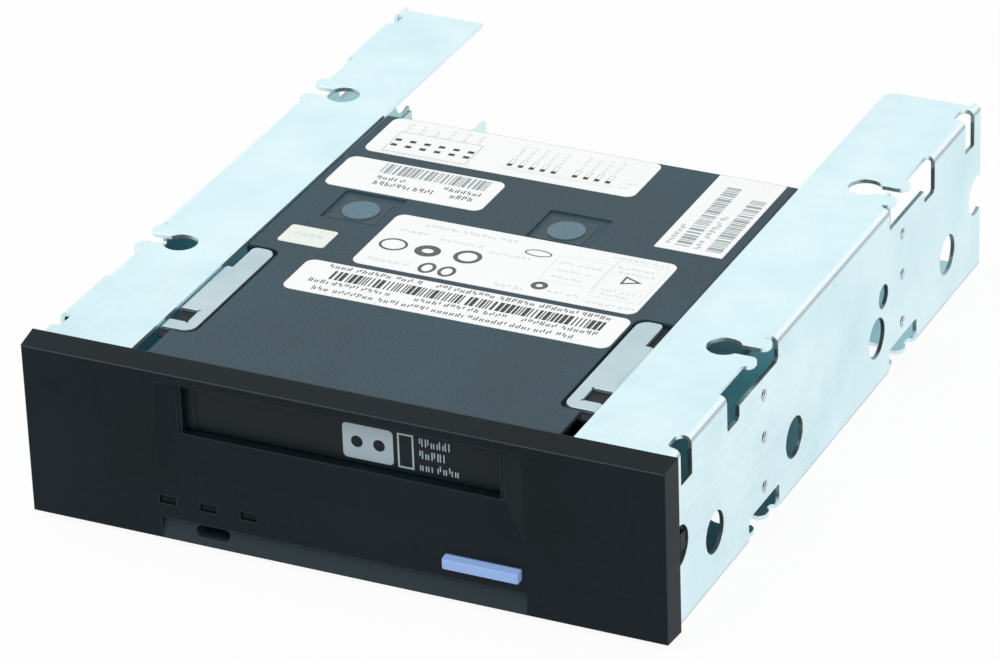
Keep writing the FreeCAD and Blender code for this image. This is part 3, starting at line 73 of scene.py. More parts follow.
def settle(piece):
    """Put an object's place, turn and scale into its mesh, and leave only it selected."""
    deselect()
    piece.select_set(True)
    bpy.context.view_layer.objects.active = piece
    bpy.ops.object.transform_apply(location=True, rotation=True, scale=True)
    return piece


def join(name, pieces):
    """Make one named object from several."""
    deselect()
    for piece in pieces:
        piece.select_set(True)
    bpy.context.view_layer.objects.active = pieces[0]
    if len(pieces) > 1:
        bpy.ops.object.join()
    pieces[0].name = name
    pieces[0].data.name = name
    return pieces[0]


def apply_modifier(piece, kind, **settings):
    """Add a modifier with these settings and apply it at once."""
    modifier = piece.modifiers.new(kind.title(), kind)
    for key, value in settings.items():
        setattr(modifier, key, value)
    deselect()
    piece.select_set(True)
    bpy.context.view_layer.objects.active = piece
    bpy.ops.object.modifier_apply(modifier=modifier.name)
    return piece

# %% [markdown]
# ## A kit for finishes
# Every finish is one Principled shader, with its even values on the shader's own sockets
# and textures where the real surface varies and where light and shade are painted into
# the colour. Patterns read Object coordinates, so they stay put on each piece.

# %% Nodes and even finishes
def add(tree, kind, **values):
    """Add a node. Capitalised names are its sockets, others are its settings."""
    node = tree.nodes.new("ShaderNode" + kind)
    for key, value in values.items():
        if key[0].isupper():
            node.inputs[key.replace("_", " ")].default_value = value
        else:
            setattr(node, key, value)
    return node


def link(tree, source, target):
    tree.links.new(source, target)


def finish(name, colour, roughness, metallic=0.0, specular=0.5, ior=1.5):
    """A new material with even values, and its node tree."""
    material = bpy.data.materials.new(name)
    material.use_nodes = True
    material.diffuse_color = (*colour, 1)
    sockets = material.node_tree.nodes["Principled BSDF"].inputs
    sockets["Base Color"].default_value = (*colour, 1)
    sockets["Roughness"].default_value = roughness
    sockets["Metallic"].default_value = metallic
    sockets["Specular IOR Level"].default_value = specular
    sockets["IOR"].default_value = ior
    return material, material.node_tree


def vary(tree, socket, value):
    """Let a node's output drive one value of the Principled shader."""
    link(tree, value, tree.nodes["Principled BSDF"].inputs[socket])

# %% Places, textures and sums
def tinted(colour, share):
    """The same colour, so many times as bright."""
    return tuple(part * share for part in colour)


def surface_place(tree, stretch=(1, 1, 1)):
    """Object coordinates, stretched."""
    mapping = add(tree, "Mapping", Scale=stretch)
    link(tree, add(tree, "TexCoord").outputs["Object"], mapping.inputs["Vector"])
    return mapping.outputs["Vector"]


def clouds(tree, place, size, detail=3.0, roughness=0.5):
    """Soft noise whose blotches are about size metres across."""
    texture = add(tree, "TexNoise", Scale=1 / size, Detail=detail, Roughness=roughness)
    link(tree, place, texture.inputs["Vector"])
    return texture.outputs["Fac"]


def spread(tree, value, low, high, to_low=0.0, to_high=1.0):
    """Map a value from low..high onto another range."""
    node = add(tree, "MapRange", From_Min=low, From_Max=high, To_Min=to_low, To_Max=to_high)
    link(tree, value, node.inputs["Value"])
    return node.outputs["Result"]


def blend(tree, share, first, second):
    """Mix two colours, each given as numbers or as another node's output."""
    node = add(tree, "Mix", data_type="RGBA")
    link(tree, share, node.inputs["Factor"])
    sockets = [socket for socket in node.inputs if socket.type == "RGBA"]
    for socket, colour in zip(sockets, (first, second)):
        if isinstance(colour, tuple):
            socket.default_value = (*colour, 1)
        else:
            link(tree, colour, socket)
    return [socket for socket in node.outputs if socket.type == "RGBA"][0]


def combine(tree, operation, first, second):
    """Arithmetic on two values, each a number or another node's output."""
    node = add(tree, "Math", operation=operation)
    for socket, value in zip(node.inputs, (first, second)):
        if isinstance(value, (int, float)):
            socket.default_value = value
        else:
            link(tree, value, socket)
    return node.outputs[0]


def times(tree, first, second):
    return combine(tree, "MULTIPLY", first, second)

# %% Edges, zones and relief
def near_edge(tree, width):
    """How near the surface is to an edge, from how far its rounded normal leans."""
    rounded = add(tree, "Bevel", samples=6, Radius=width)
    flat = add(tree, "NewGeometry")
    lean = add(tree, "VectorMath", operation="DOT_PRODUCT")
    link(tree, rounded.outputs["Normal"], lean.inputs[0])
    link(tree, flat.outputs["True Normal"], lean.inputs[1])
    return spread(tree, lean.outputs["Value"], 0.99, 0.80)


def within(tree, value, low, high):
    """One where a value lies between low and high, and zero elsewhere."""
    return times(tree, combine(tree, "GREATER_THAN", value, low),
                 combine(tree, "LESS_THAN", value, high))


def within_both(tree, first, second, limits):
    """One where two values lie within limits: low and high of the first, then the second."""
    return times(tree, within(tree, first, *limits[:2]), within(tree, second, *limits[2:]))


def axis_value(tree, output, axis):
    """One axis of the Object place, or of the Normal as the object sees it."""
    axes = add(tree, "SeparateXYZ")
    link(tree, add(tree, "TexCoord").outputs[output], axes.inputs[0])
    return axes.outputs[axis]


def size_of(tree, value):
    """A value without its sign."""
    return combine(tree, "ABSOLUTE", value, 0)


def relief(tree, height, depth, edge=0.0):
    """Bump of this depth in metres, over edges that look rounded by edge metres."""
    bump = add(tree, "Bump", Strength=1.0, Distance=depth)
    link(tree, height, bump.inputs["Height"])
    if edge:
        rounded = add(tree, "Bevel", samples=4, Radius=edge)
        link(tree, rounded.outputs["Normal"], bump.inputs["Normal"])
    vary(tree, "Normal", bump.outputs["Normal"])

# %% [markdown]
# ## The view
# A catalogue view is taken from well back with a long lens, so the drive's long edges stay
# almost parallel. The camera stands in front of the drive, to its right and above it, and
# is tipped by two degrees.

# %% Camera
view_azimuth = radians(26.007)
view_elevation = radians(28.259)
view_roll = radians(-2.031)
view_offset = Vector((456.80, -855.67, 576.62)) * mm   # from the bezel's front, on the floor
lens = 194.5            # millimetres, over a sensor 36 wide
picture_shift = (-0.0040, 0.0109)

camera_data = bpy.data.cameras.new("catalogue_camera")
camera_data.lens = lens
camera_data.shift_x, camera_data.shift_y = picture_shift
camera = bpy.data.objects.new("catalogue_camera", camera_data)
bpy.context.scene.collection.objects.link(camera)
bezel_low, bezel_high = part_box("bezel")
view_place = Vector((0, bezel_low.y, 0)) + view_offset
camera.matrix_world = (Matrix.Translation(view_place)
                       @ Matrix.Rotation(view_azimuth, 4, "Z")
                       @ Matrix.Rotation(pi / 2 - view_elevation, 4, "X")
                       @ Matrix.Rotation(view_roll, 4, "Z"))
bpy.context.scene.camera = camera
print("camera", round(view_offset.length, 2), "m from the bezel")

# %% [markdown]
# ## Light
# Bright zinc and black plastic side by side ask for a white tent: light from everywhere,
# with a large soft lamp above the left shoulder and a weaker one on the right, so that
# folds and edges still read. The world is plain white to the camera and in reflections,
# and a little weaker as a light, so that a colour renders about as it is written.

# %% World, lamps and floor
world_light = 0.72      # as a light; 1 where it is seen
floor_size = 6
floor_drop = 0.05 * mm  # below the drive, so that the two don't coincide

world = bpy.data.worlds.new("white_tent")
world.use_nodes = True
bpy.context.scene.world = world
sky = world.node_tree
background = sky.nodes["Background"]
background.inputs["Color"].default_value = (1, 1, 1, 1)
path = add(sky, "LightPath")
mirrored = combine(sky, "MAXIMUM", path.outputs["Is Glossy Ray"],
                   path.outputs["Is Transmission Ray"])
seen = combine(sky, "MAXIMUM", path.outputs["Is Camera Ray"], mirrored)
link(sky, spread(sky, seen, 0.0, 1.0, world_light, 1.0), background.inputs["Strength"])


def soft_lamp(name, place, aim, size, power):
    """A square area lamp at place that shines on the point aim."""
    data = bpy.data.lights.new(name, "AREA")
    data.size = size
    data.energy = power
    lamp = bpy.data.objects.new(name, data)
    bpy.context.scene.collection.objects.link(lamp)
    lamp.matrix_world = (Matrix.Translation(place)
                         @ (Vector(aim) - Vector(place)).to_track_quat("-Z", "Y")
                         .to_matrix().to_4x4())


soft_lamp("key_lamp", place=(-0.55, -0.60, 1.00), aim=(0, 0, 0.02), size=0.8, power=5.6)
soft_lamp("side_lamp", place=(1.2, -0.3, 0.45), aim=(0.05, 0, 0.02), size=0.7, power=2.8)

deselect()
bpy.ops.mesh.primitive_plane_add(size=floor_size, location=(0, 0, -floor_drop))
floor = settle(bpy.context.object)
floor.name = "floor"
print("world light", world_light, "and", len(bpy.data.lights), "lamps")

# %% [markdown]
# ## Zinc-plated sheet
# The brackets and the chassis are pressed from steel that was plated before folding.
# Bright zinc is bluish, satin rather than mirror-like, and cloudy from handling, with
# faint lines along the rolling direction. A metal shader tinted a little towards cyan
# carries it. Where the sheet is folded, a highlight is painted along the top of the
# bend and a dark line of shade at its foot, and edges get a painted highlight. Inside the
# channels the zinc is painted dull and teal, as shade.

# %% Plated and bare sheet
rolling = (14, 1, 14)       # stretch of the lines that the rolling mill left
# Colour of the highlight painted along the top of each bend.
bend_highlight = (0.93, 0.98, 0.99)


def paint_fold_light(tree, colour, bright):
    """Paint a highlight over the bend between a level face and an upright one, and a dark line
    of shade at its foot.
    """
    sideways = size_of(tree, axis_value(tree, "Normal", "X"))
    bend = size_of(tree, times(tree, sideways, axis_value(tree, "Normal", "Z")))
    shining = blend(tree, spread(tree, bend, 0.20, 0.50, 0.0, 0.8), colour, bend_highlight)
    foot = times(tree, spread(tree, sideways, 0.76, 0.90), spread(tree, bend, 0.04, 0.20))
    return blend(tree, foot, shining, tinted(bright, 0.58))


def plated_sheet(name, bright, dull, roughness, shade_and_edge_zones=(), rim_highlight=None, folded=False):
    """Rim highlight is the colour of a highlight painted at edges, and folded paints light and
    shade over the bends. Shade and edge zones list places by how far from the middle they lie,
    from and to, how high, from and to, and what colour they have: painted shade in hollows, or
    the darker tone of cut edges."""
    material, tree = finish(name, bright, roughness, metallic=0.9)
    place = surface_place(tree)
    cloud = clouds(tree, place, 22 * mm, 4.0, 0.6)
    rolled = clouds(tree, surface_place(tree, rolling), 9 * mm, 3.0)
    specks = spread(tree, clouds(tree, place, 1.3 * mm, 2.0), 0.72, 0.80)
    smear = spread(tree, clouds(tree, place, 55 * mm, 5.0, 0.65), 0.52, 0.72)
    streak = times(tree, smear, spread(tree, rolled, 0.35, 0.65, 0.3, 1.0))
    zinc = blend(tree, spread(tree, cloud, 0.35, 0.75), bright, dull)
    for marks, share in ((specks, 0.45), (streak, 0.72)):
        zinc = blend(tree, times(tree, marks, 0.35), zinc, tinted(dull, share))
    # Painted highlight along the edges.
    if rim_highlight:
        zinc = blend(tree, near_edge(tree, 0.3 * mm), zinc, rim_highlight)
    # Painted highlight and shade over the bends.
    if folded:
        zinc = paint_fold_light(tree, zinc, bright)
    # Painted shade in hollows, and the darker tone of cut edges.
    for *limits, shade in shade_and_edge_zones:
        across = size_of(tree, axis_value(tree, "Object", "X"))
        height = axis_value(tree, "Object", "Z")
        zinc = blend(tree, within_both(tree, across, height, limits), zinc, shade)
    vary(tree, "Base Color", zinc)
    satin = spread(tree, cloud, 0.3, 0.8, roughness - 0.08, roughness + 0.10)
    lines = spread(tree, rolled, 0.3, 0.7, -0.04, 0.04)
    vary(tree, "Roughness", combine(tree, "ADD", satin, lines))
    relief(tree, rolled, 0.003 * mm, edge=0.2 * mm)
    return material

# %% [markdown]
# ## Textured paint and moulded plastic
# The lid is painted with a fine black texture, and the bezel is moulded in a mould with
# a spark-eroded face. Both scatter light from tiny bumps a few tenths of a millimetre
# apart, so both use fine noise for relief and for a little sparkle in the colour. The
# plastic is darker, and its corners show a softened line of light, from rounded normals
# and from a highlight painted into the colour.

# %% Paint and plastics
def textured_skin(name, colour, roughness, grain=0.28 * mm, depth=0.02 * mm, sparkle=0.35,
                  specular=0.4, edge=0.25 * mm, ior=1.5, edge_highlight=None, light_and_shade_zones=()):
    """Edge highlight is the colour of a highlight painted at edges. A zone is a range of
    heights, a range of how far the surface faces up, and the colour painted within both, as
    shade or light."""
    material, tree = finish(name, colour, roughness, specular=specular, ior=ior)
    place = surface_place(tree)
    fine = clouds(tree, place, grain, 2.0, 0.6)
    broad = clouds(tree, place, 30 * mm, 2.0)
    tone = combine(tree, "ADD", spread(tree, fine, 0.3, 0.75),
                   spread(tree, broad, 0.3, 0.7, -0.25, 0.25))
    skin = blend(tree, tone, tinted(colour, 1 - sparkle), tinted(colour, 1 + sparkle))
    # Zones paint shade or light by height and by how far the surface faces up.
    for *limits, shade in light_and_shade_zones:
        height = axis_value(tree, "Object", "Z")
        facing_up = axis_value(tree, "Normal", "Z")
        skin = blend(tree, within_both(tree, height, facing_up, limits), skin, shade)
    # Painted highlight along the edges.
    if edge_highlight:
        skin = blend(tree, near_edge(tree, edge), skin, edge_highlight)
    vary(tree, "Base Color", skin)
    vary(tree, "Roughness", spread(tree, broad, 0.3, 0.7, roughness - 0.05, roughness + 0.05))
    relief(tree, fine, depth, edge=edge)
    return material

# %% [markdown]
# ## Paper, rubber and the metals inside
# Labels are coated paper: almost white, with a trace of fibre. The parts of the tape
# path are turned, ground or moulded, and each gets the marks of its making: fine rings
# for turned work, dust for ground rubber, and slight flow lines for a clear moulding.

# %% Paper, turned metal, rubber and clear moulding
def coated_paper(name, colour):
    """Almost white, with fibres along one direction and patches a little aged."""
    material, tree = finish(name, colour, 0.5, specular=0.3)
    fibre = clouds(tree, surface_place(tree, (1, 3, 1)), 0.35 * mm, 3.0)
    age = clouds(tree, surface_place(tree), 14 * mm, 2.0)
    share = times(tree, spread(tree, fibre, 0.3, 0.8), spread(tree, age, 0.3, 0.7, 0.4, 1.0))
    vary(tree, "Base Color", blend(tree, share, colour, tinted(colour, 0.93)))
    relief(tree, fibre, 0.004 * mm)
    return material


def turned_metal(name, colour, roughness):
    """Metal with the fine rings that a lathe leaves round an upright axis."""
    material, tree = finish(name, colour, roughness, metallic=1.0)
    rings = clouds(tree, surface_place(tree, (1, 1, 40)), 4 * mm, 4.0, 0.6)
    vary(tree, "Base Color", blend(tree, spread(tree, rings, 0.3, 0.7), colour,
                                   tinted(colour, 0.8)))
    vary(tree, "Roughness", spread(tree, rings, 0.3, 0.7, roughness - 0.04, roughness + 0.08))
    relief(tree, rings, 0.006 * mm, edge=0.1 * mm)
    return material


def ground_rubber(name, colour):
    """Matt rubber, paler where dust lies."""
    material, tree = finish(name, colour, 0.75, specular=0.35)
    dust = clouds(tree, surface_place(tree), 0.5 * mm, 4.0, 0.7)
    pale = tuple(part * 1.5 + 0.01 for part in colour)
    vary(tree, "Base Color", blend(tree, spread(tree, dust, 0.45, 0.8), colour, pale))
    relief(tree, dust, 0.02 * mm, edge=0.15 * mm)
    return material


def smoked_moulding(name, colour):
    """Dark clear plastic, a little less polished along its flow lines."""
    material, tree = finish(name, colour, 0.18, specular=0.25, ior=1.2)
    tree.nodes["Principled BSDF"].inputs["Transmission Weight"].default_value = 0.1
    flow = clouds(tree, surface_place(tree), 1.5 * mm, 2.0)
    vary(tree, "Roughness", spread(tree, flow, 0.3, 0.7, 0.12, 0.26))
    relief(tree, flow, 0.004 * mm, edge=0.15 * mm)
    return material

# %% [markdown]
# ## Circuit board
# The boards are green under their solder mask, with copper tracks just visible as a
# slightly lighter pattern. A brick texture gives the right-angled runs, and noise breaks
# them up so that they don't read as tiles.

# %% Solder mask
def solder_mask(name, colour, track):
    """A board's green face, with the colour of its tracks."""
    material, tree = finish(name, colour, 0.3)
    place = surface_place(tree)
    tracks = add(tree, "TexBrick", Scale=1.0, Mortar_Size=0.12 * mm, Mortar_Smooth=0.1,
                 Brick_Width=9.0 * mm, Row_Height=0.9 * mm)
    link(tree, place, tracks.inputs["Vector"])
    broken = spread(tree, clouds(tree, place, 5 * mm, 2.0), 0.45, 0.55)
    share = times(tree, tracks.outputs["Fac"], broken)
    vary(tree, "Base Color", blend(tree, share, colour, track))
    relief(tree, share, 0.03 * mm, edge=0.1 * mm)
    return material

# %% [markdown]
# ## One finish for each slot
# The imported record says which finish each piece has. The table below makes each one once,
# and a loop then hands them out to the imported pieces by that record. A few finishes vary
# by place: painted shade inside the brackets, a darker tone on their cut edges, painted shade
# on the steps under the lid's edge, painted light on the bezel's upward-facing ledge, a
# painted highlight on its front edge, and painted shade on the outside of the chassis plates.

# %% Places within the finishes
bracket_low, bracket_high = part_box("right_bracket")
plate_low, plate_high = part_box("right_side_plate")
sheet = 1.0 * mm        # thickness of the brackets' sheet
margin = 0.05 * mm
bend_reach = 3.0 * mm   # how far a bend reaches up or down the wall
# Painted shade: the zinc inside the brackets' channels is painted dull and teal.
channel_shade = (bracket_low.x + sheet - margin, bracket_high.x - sheet + margin,
           bracket_low.z + sheet - margin, bracket_high.z - sheet + margin,
           (0.34, 0.60, 0.65))
cut_edges = (channel_shade[1], bracket_high.x - 2 * margin, bracket_low.z + bend_reach,
             bracket_high.z - bend_reach, (0.33, 0.41, 0.43))
lid_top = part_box("top_cover")[1].z
# Painted shade on the lid's upward faces that lie below its top.
lid_step_shade = (0, lid_top - 0.7 * mm, 0.2, 1.1, (0.006, 0.011, 0.014))
# Painted light on the upward-facing faces of the bezel's low ledge.
ledge_light = (bezel_low.z, bezel_low.z + 7 * mm, 0.15, 1.1, (0.026, 0.041, 0.049))
# Painted highlight on a band along the bezel's top front edge.
front_edge_highlight = (bezel_high.z - 1.2 * mm, bezel_high.z - 0.8 * mm, 0.40, 0.88,
              (0.036, 0.053, 0.060))
# Painted shade on the chassis plates' outer faces, which lie inside the brackets.
plate_outside_shade = (plate_high.x - margin, plate_high.x + margin,
                 plate_low.z, plate_high.z - sheet, (0.16, 0.30, 0.34))
print("lid's upper face", round(lid_top / mm, 1), "mm up")

# %% [markdown]
# A dark plastic with a low index of refraction stays dark at a slant, as a spark-eroded
# face does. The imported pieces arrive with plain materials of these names, so Blender adds
# a number to each new one, and the table is kept under the name before that number.

# %% The finishes
made = [
    # Painted highlights on the rims and bends, and painted shade in the channels.
    plated_sheet("bracket_zinc", (0.74, 0.93, 0.97), (0.64, 0.86, 0.91), 0.34,
                 shade_and_edge_zones=[channel_shade, cut_edges], rim_highlight=(0.90, 0.97, 0.98), folded=True),
    # Painted highlight on the rims, and painted shade on the plates' outer faces.
    plated_sheet("chassis_zinc", (0.55, 0.69, 0.72), (0.47, 0.61, 0.65), 0.42,
                 shade_and_edge_zones=[plate_outside_shade], rim_highlight=(0.75, 0.84, 0.86)),
    # Painted shade on the lid's low steps.
    textured_skin("cover_black", (0.029, 0.063, 0.084), 0.5, grain=0.42 * mm, specular=0.25,
                  light_and_shade_zones=[lid_step_shade]),
    # Painted light on the ledge and front edge, and a painted highlight at the edges.
    textured_skin("bezel_black", (0.0056, 0.0108, 0.0145), 0.38, ior=1.2, specular=0.5,
                  edge=0.3 * mm, edge_highlight=(0.045, 0.068, 0.08), light_and_shade_zones=[ledge_light, front_edge_highlight]),
    textured_skin("door_black", (0.0065, 0.0115, 0.014), 0.40, ior=1.25, specular=0.5),
    # Painted highlight along the button's edges.
    textured_skin("button_blue", (0.30, 0.46, 0.82), 0.42, sparkle=0.05, depth=0.006 * mm,
                  specular=0.4, edge_highlight=(0.62, 0.74, 0.92)),
    smoked_moulding("light_clear", (0.006, 0.011, 0.014)),
    coated_paper("paper_white", (0.955, 0.975, 0.97)),
    coated_paper("paper_cream", (0.84, 0.89, 0.83)),
    ground_rubber("pad_grey", (0.115, 0.19, 0.235)),
    turned_metal("screw_zinc", (0.72, 0.78, 0.80), 0.28),
    solder_mask("board_green", (0.012, 0.10, 0.05), (0.03, 0.19, 0.09)),
    textured_skin("chip_black", (0.018, 0.018, 0.02), 0.5, sparkle=0.2),
    textured_skin("socket_black", (0.02, 0.02, 0.022), 0.42, sparkle=0.15),
    textured_skin("socket_white", (0.72, 0.71, 0.65), 0.45, sparkle=0.04),
    turned_metal("contact_brass", (0.83, 0.66, 0.30), 0.25),
    textured_skin("switch_grey", (0.20, 0.20, 0.21), 0.45, sparkle=0.1),
    plated_sheet("deck_steel", (0.68, 0.70, 0.71), (0.58, 0.60, 0.61), 0.36),
    plated_sheet("holder_steel", (0.72, 0.74, 0.76), (0.62, 0.64, 0.66), 0.3),
    textured_skin("gear_white", (0.76, 0.75, 0.69), 0.38, sparkle=0.03),
    turned_metal("worm_brass", (0.80, 0.62, 0.28), 0.3),
    plated_sheet("motor_steel", (0.62, 0.64, 0.66), (0.52, 0.54, 0.56), 0.3),
    textured_skin("reel_black", (0.02, 0.02, 0.022), 0.3, sparkle=0.1),
    turned_metal("drum_aluminium", (0.86, 0.87, 0.88), 0.2),
    turned_metal("shaft_steel", (0.78, 0.79, 0.80), 0.15),
    turned_metal("bearing_brass", (0.68, 0.50, 0.24), 0.35),
    turned_metal("flywheel_iron", (0.42, 0.43, 0.44), 0.35),
    ground_rubber("roller_rubber", (0.02, 0.02, 0.021)),
    plated_sheet("arm_steel", (0.66, 0.67, 0.69), (0.56, 0.57, 0.59), 0.34),
    textured_skin("carriage_black", (0.03, 0.03, 0.032), 0.4, sparkle=0.1),
]
finishes = {material.name.split(".")[0]: material for material in made}

for subpart in frame["record"]["subparts"]:
    mesh = nodes[subpart["node"]].data
    mesh.materials.clear()
    mesh.materials.append(finishes[subpart["material_slot"]])
print(len(finishes), "finishes on", len(nodes), "packed pieces")

# %% [markdown]
# ## Ink
# Print is a very thin raised layer of its own. Each printed patch starts as a flat grid,
# plane or circle in millimetres from a sheet's left front corner. Cells that take no ink
# are deleted, the rest gets the thickness of ink, and the patch is set on its sheet. A
# sheet is a corner and a turn, so the same helpers print on a lid or on an upright face.
# Nothing printed can be read: words are rows of ticks, and bars are drawn at random.

# %% Inks and sheets
ink_depth = 0.02 * mm
lying = (0, 0, 0)
facing_front = (pi / 2, 0, 0)


def printed_ink(name, colour, wear):
    """Ink that lets a little of the paper through where it is thin."""
    material, tree = finish(name, colour, 0.5, specular=0.3)
    thin = clouds(tree, surface_place(tree), 0.25 * mm, 2.0)
    paler = tuple(part + (0.9 - part) * wear for part in colour)
    vary(tree, "Base Color", blend(tree, spread(tree, thin, 0.5, 0.75), colour, paler))
    return material


ink_black = printed_ink("ink_black", (0.022, 0.026, 0.028), 0.12)
ink_dark = printed_ink("ink_dark", (0.07, 0.085, 0.09), 0.2)
ink_grey = printed_ink("ink_grey", (0.30, 0.36, 0.37), 0.35)
ink_pale = printed_ink("ink_pale", (0.60, 0.69, 0.69), 0.35)


def sheet_on(label):
    """A label's upper face as a sheet to print on."""
    low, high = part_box(label)
    return Vector((low.x, low.y, high.z + 0.002 * mm)), lying

# %% [markdown]
# Deleting cells is done in Edit Mode, on faces that are picked by a question about each.

# %% Patches of ink
def mode(name):
    bpy.ops.object.mode_set(mode=name)


def pick_faces(piece, wanted):
    """Open a piece in Edit Mode and select the faces for which wanted(face) is true."""
    mode("EDIT")
    bpy.ops.mesh.select_mode(type="FACE")
    bpy.ops.mesh.select_all(action="DESELECT")
    for face in bmesh.from_edit_mesh(piece.data).faces:
        face.select = wanted(face)
    bmesh.update_edit_mesh(piece.data)


def set_patch(patch, sheet, ink):
    """Thicken a flat patch to a layer of ink and set it on a sheet."""
    corner, turn = sheet
    apply_modifier(patch, "SOLIDIFY", thickness=ink_depth, offset=1)
    patch.location = corner
    patch.rotation_euler = turn
    settle(patch)
    patch.data.materials.append(ink)
    return patch


def stretch_patch(area):
    """Give the patch just added, one unit wide, its place and size: x0, x1, y0, y1 in mm."""
    x0, x1, y0, y1 = area
    patch = bpy.context.object
    patch.location = ((x0 + x1) / 2 * mm, (y0 + y1) / 2 * mm, 0)
    patch.scale = ((x1 - x0) * mm, (y1 - y0) * mm, 1)
    return settle(patch)


def printed_grid(sheet, area, columns, rows, inked, ink):
    """Ink the cells of a grid for which inked(column, row) is true."""
    deselect()
    bpy.ops.mesh.primitive_grid_add(x_subdivisions=columns, y_subdivisions=rows, size=1)
    patch = stretch_patch(area)
    x0, x1, y0, y1 = area

    def left_bare(face):
        middle = face.calc_center_median() / mm
        return not inked(int((middle.x - x0) / (x1 - x0) * columns),
                         int((middle.y - y0) / (y1 - y0) * rows))

    pick_faces(patch, left_bare)
    bpy.ops.mesh.delete(type="FACE")
    mode("OBJECT")
    return set_patch(patch, sheet, ink)


def printed_box(sheet, area, ink):
    """A filled box."""
    deselect()
    bpy.ops.mesh.primitive_plane_add(size=1)
    return set_patch(stretch_patch(area), sheet, ink)


def printed_outline(sheet, area, line, ink, sides=4, turn=0.0):
    """A closed line: four sides make a frame, three a triangle, and many an oval."""
    deselect()
    if sides == 4:
        bpy.ops.mesh.primitive_plane_add(size=1)
    else:
        bpy.ops.mesh.primitive_circle_add(vertices=sides, radius=0.5, fill_type="NGON",
                                          rotation=(0, 0, turn))
        settle(bpy.context.object)
    patch = stretch_patch(area)
    pick_faces(patch, lambda face: True)
    bpy.ops.mesh.inset(thickness=line * mm)
    bpy.ops.mesh.delete(type="FACE")
    mode("OBJECT")
    return set_patch(patch, sheet, ink)

# %% [markdown]
# Bars and words share one kind of row, which can also run across the drive.

# %% Bars and words
def steps_along(area, turned, step):
    """How many steps of so many millimetres fit along a row."""
    x0, x1, y0, y1 = area
    return int(((y1 - y0) if turned else (x1 - x0)) / step)


def printed_row(sheet, area, count, levels, marks, ink, turned):
    """Ink the levels listed in marks for each of count steps along X, or along Y if turned."""
    if turned:
        return printed_grid(sheet, area, levels, count,
                            lambda column, row: column in marks[row], ink)
    return printed_grid(sheet, area, count, levels, lambda column, row: row in marks[column],
                        ink)


def barcode(sheet, area, ink, seed, module=0.32, turned=False):
    """Random bars of one to three modules, with gaps of one or two."""
    chance = Random(seed)
    count = steps_along(area, turned, module)
    bars = []
    while len(bars) < count:
        bars += [(0,)] * chance.choice((1, 1, 1, 2, 3)) + [()] * chance.choice((1, 1, 2))
    return printed_row(sheet, area, count, 1, bars, ink, turned)


def word_row(sheet, area, ink, seed, tick=0.24, turned=False):
    """Upright ticks of three heights in groups, which stand for words and spell nothing."""
    chance = Random(seed)
    count = steps_along(area, turned, tick)
    reaches = ((0, 1, 2), (0, 1), (1, 2), (0, 1))
    ticks = []
    while len(ticks) < count:
        for step in range(chance.randint(4, 14)):
            ticks += [chance.choice(reaches), ()]
            ticks += [()] * (step % 2)
        ticks += [(), (), ()]
    return printed_row(sheet, area, count, 3, ticks, ink, turned)


def word_rows(sheet, ink, first_seed, tick, areas):
    """Rows of words in several places, with seeds that count up."""
    return [word_row(sheet, area, ink, seed, tick)
            for seed, area in enumerate(areas, first_seed)]


def finish_print(name, patches, body="drive_frame"):
    """Join the patches of one sheet, and let them ride with the body that carries it."""
    piece = join(name, patches)
    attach(piece, body)
    print(name, len(patches), "patches,", len(piece.data.polygons), "faces")

# %% [markdown]
# ## Settings label
# The wide label at the rear maps the jumper header: two rows of filled squares in a
# frame, each column with a line of words leading away to the rear. To its right a bank
# of small switches is drawn in the same way, with the dark half of each switch in front.

# %% Settings label
settings = sheet_on("settings_label")
patches = [printed_outline(settings, (4.3, 24.9, 1.35, 11.3), 0.12, ink_grey)]
for step in range(6):
    x = 5.6 + step * 3.6
    for y in (4.7, 7.3):
        patches.append(printed_box(settings, (x - 0.75, x + 0.75, y - 0.55, y + 0.55),
                                   ink_black))
    patches.append(word_row(settings, (x - 0.75, x + 0.15, 11.6, 15.6), ink_pale, step, 0.3,
                            turned=True))
patches.append(word_row(settings, (3.0, 26.0, 0.5, 1.1), ink_pale, 21))
patches.append(printed_outline(settings, (33.0, 60.1, 2.7, 3.6), 0.1, ink_pale))
for start, count in ((34.2, 5), (50.1, 4)):
    for step in range(count):
        x = start + step * 2.68
        patches.append(printed_box(settings, (x - 0.6, x + 0.6, 4.4, 5.5), ink_black))
        patches.append(printed_outline(settings, (x - 0.55, x + 0.55, 5.5, 8.2), 0.1,
                                       ink_grey))
        patches.append(word_row(settings, (x - 0.4, x + 0.3, 9.0, 14.6), ink_pale,
                                31 + step + count, 0.3, turned=True))
for y in (3.4, 5.4):
    patches.append(word_row(settings, (61.4, 64.6, y, y + 0.7), ink_pale, 40 + int(y)))
finish_print("settings_print", patches)

# %% [markdown]
# ## Model label
# A grey row of bars, and two rows of words beneath it.

# %% Model label
model = sheet_on("model_label")
patches = [barcode(model, (9.5, 35.5, 9.3, 14.0), ink_grey, 3, module=0.3)]
patches += word_rows(model, ink_black, 4, 0.28, (
    (10.2, 17.4, 6.4, 8.0), (26.6, 35.4, 6.4, 8.0), (10.6, 24.9, 3.6, 5.5),
    (29.5, 35.2, 3.6, 5.5)))
finish_print("model_print", patches)

# %% [markdown]
# ## Tracking label
# The long label nearest the bezel carries one row of strong bars between rows of words.

# %% Tracking label
tracking = sheet_on("tracking_label")
patches = [barcode(tracking, (8.0, 39.0, 6.9, 10.8), ink_black, 11),
           barcode(tracking, (40.2, 71.8, 6.9, 10.8), ink_black, 12)]
patches += word_rows(tracking, ink_black, 13, 0.28, (
    (5.8, 27.6, 11.8, 13.4), (31.3, 71.8, 11.8, 13.4), (4.3, 23.5, 4.6, 6.2),
    (29.5, 50.8, 4.6, 6.2), (54.6, 73.2, 4.6, 6.2), (6.6, 69.0, 1.5, 3.2)))
finish_print("tracking_print", patches)

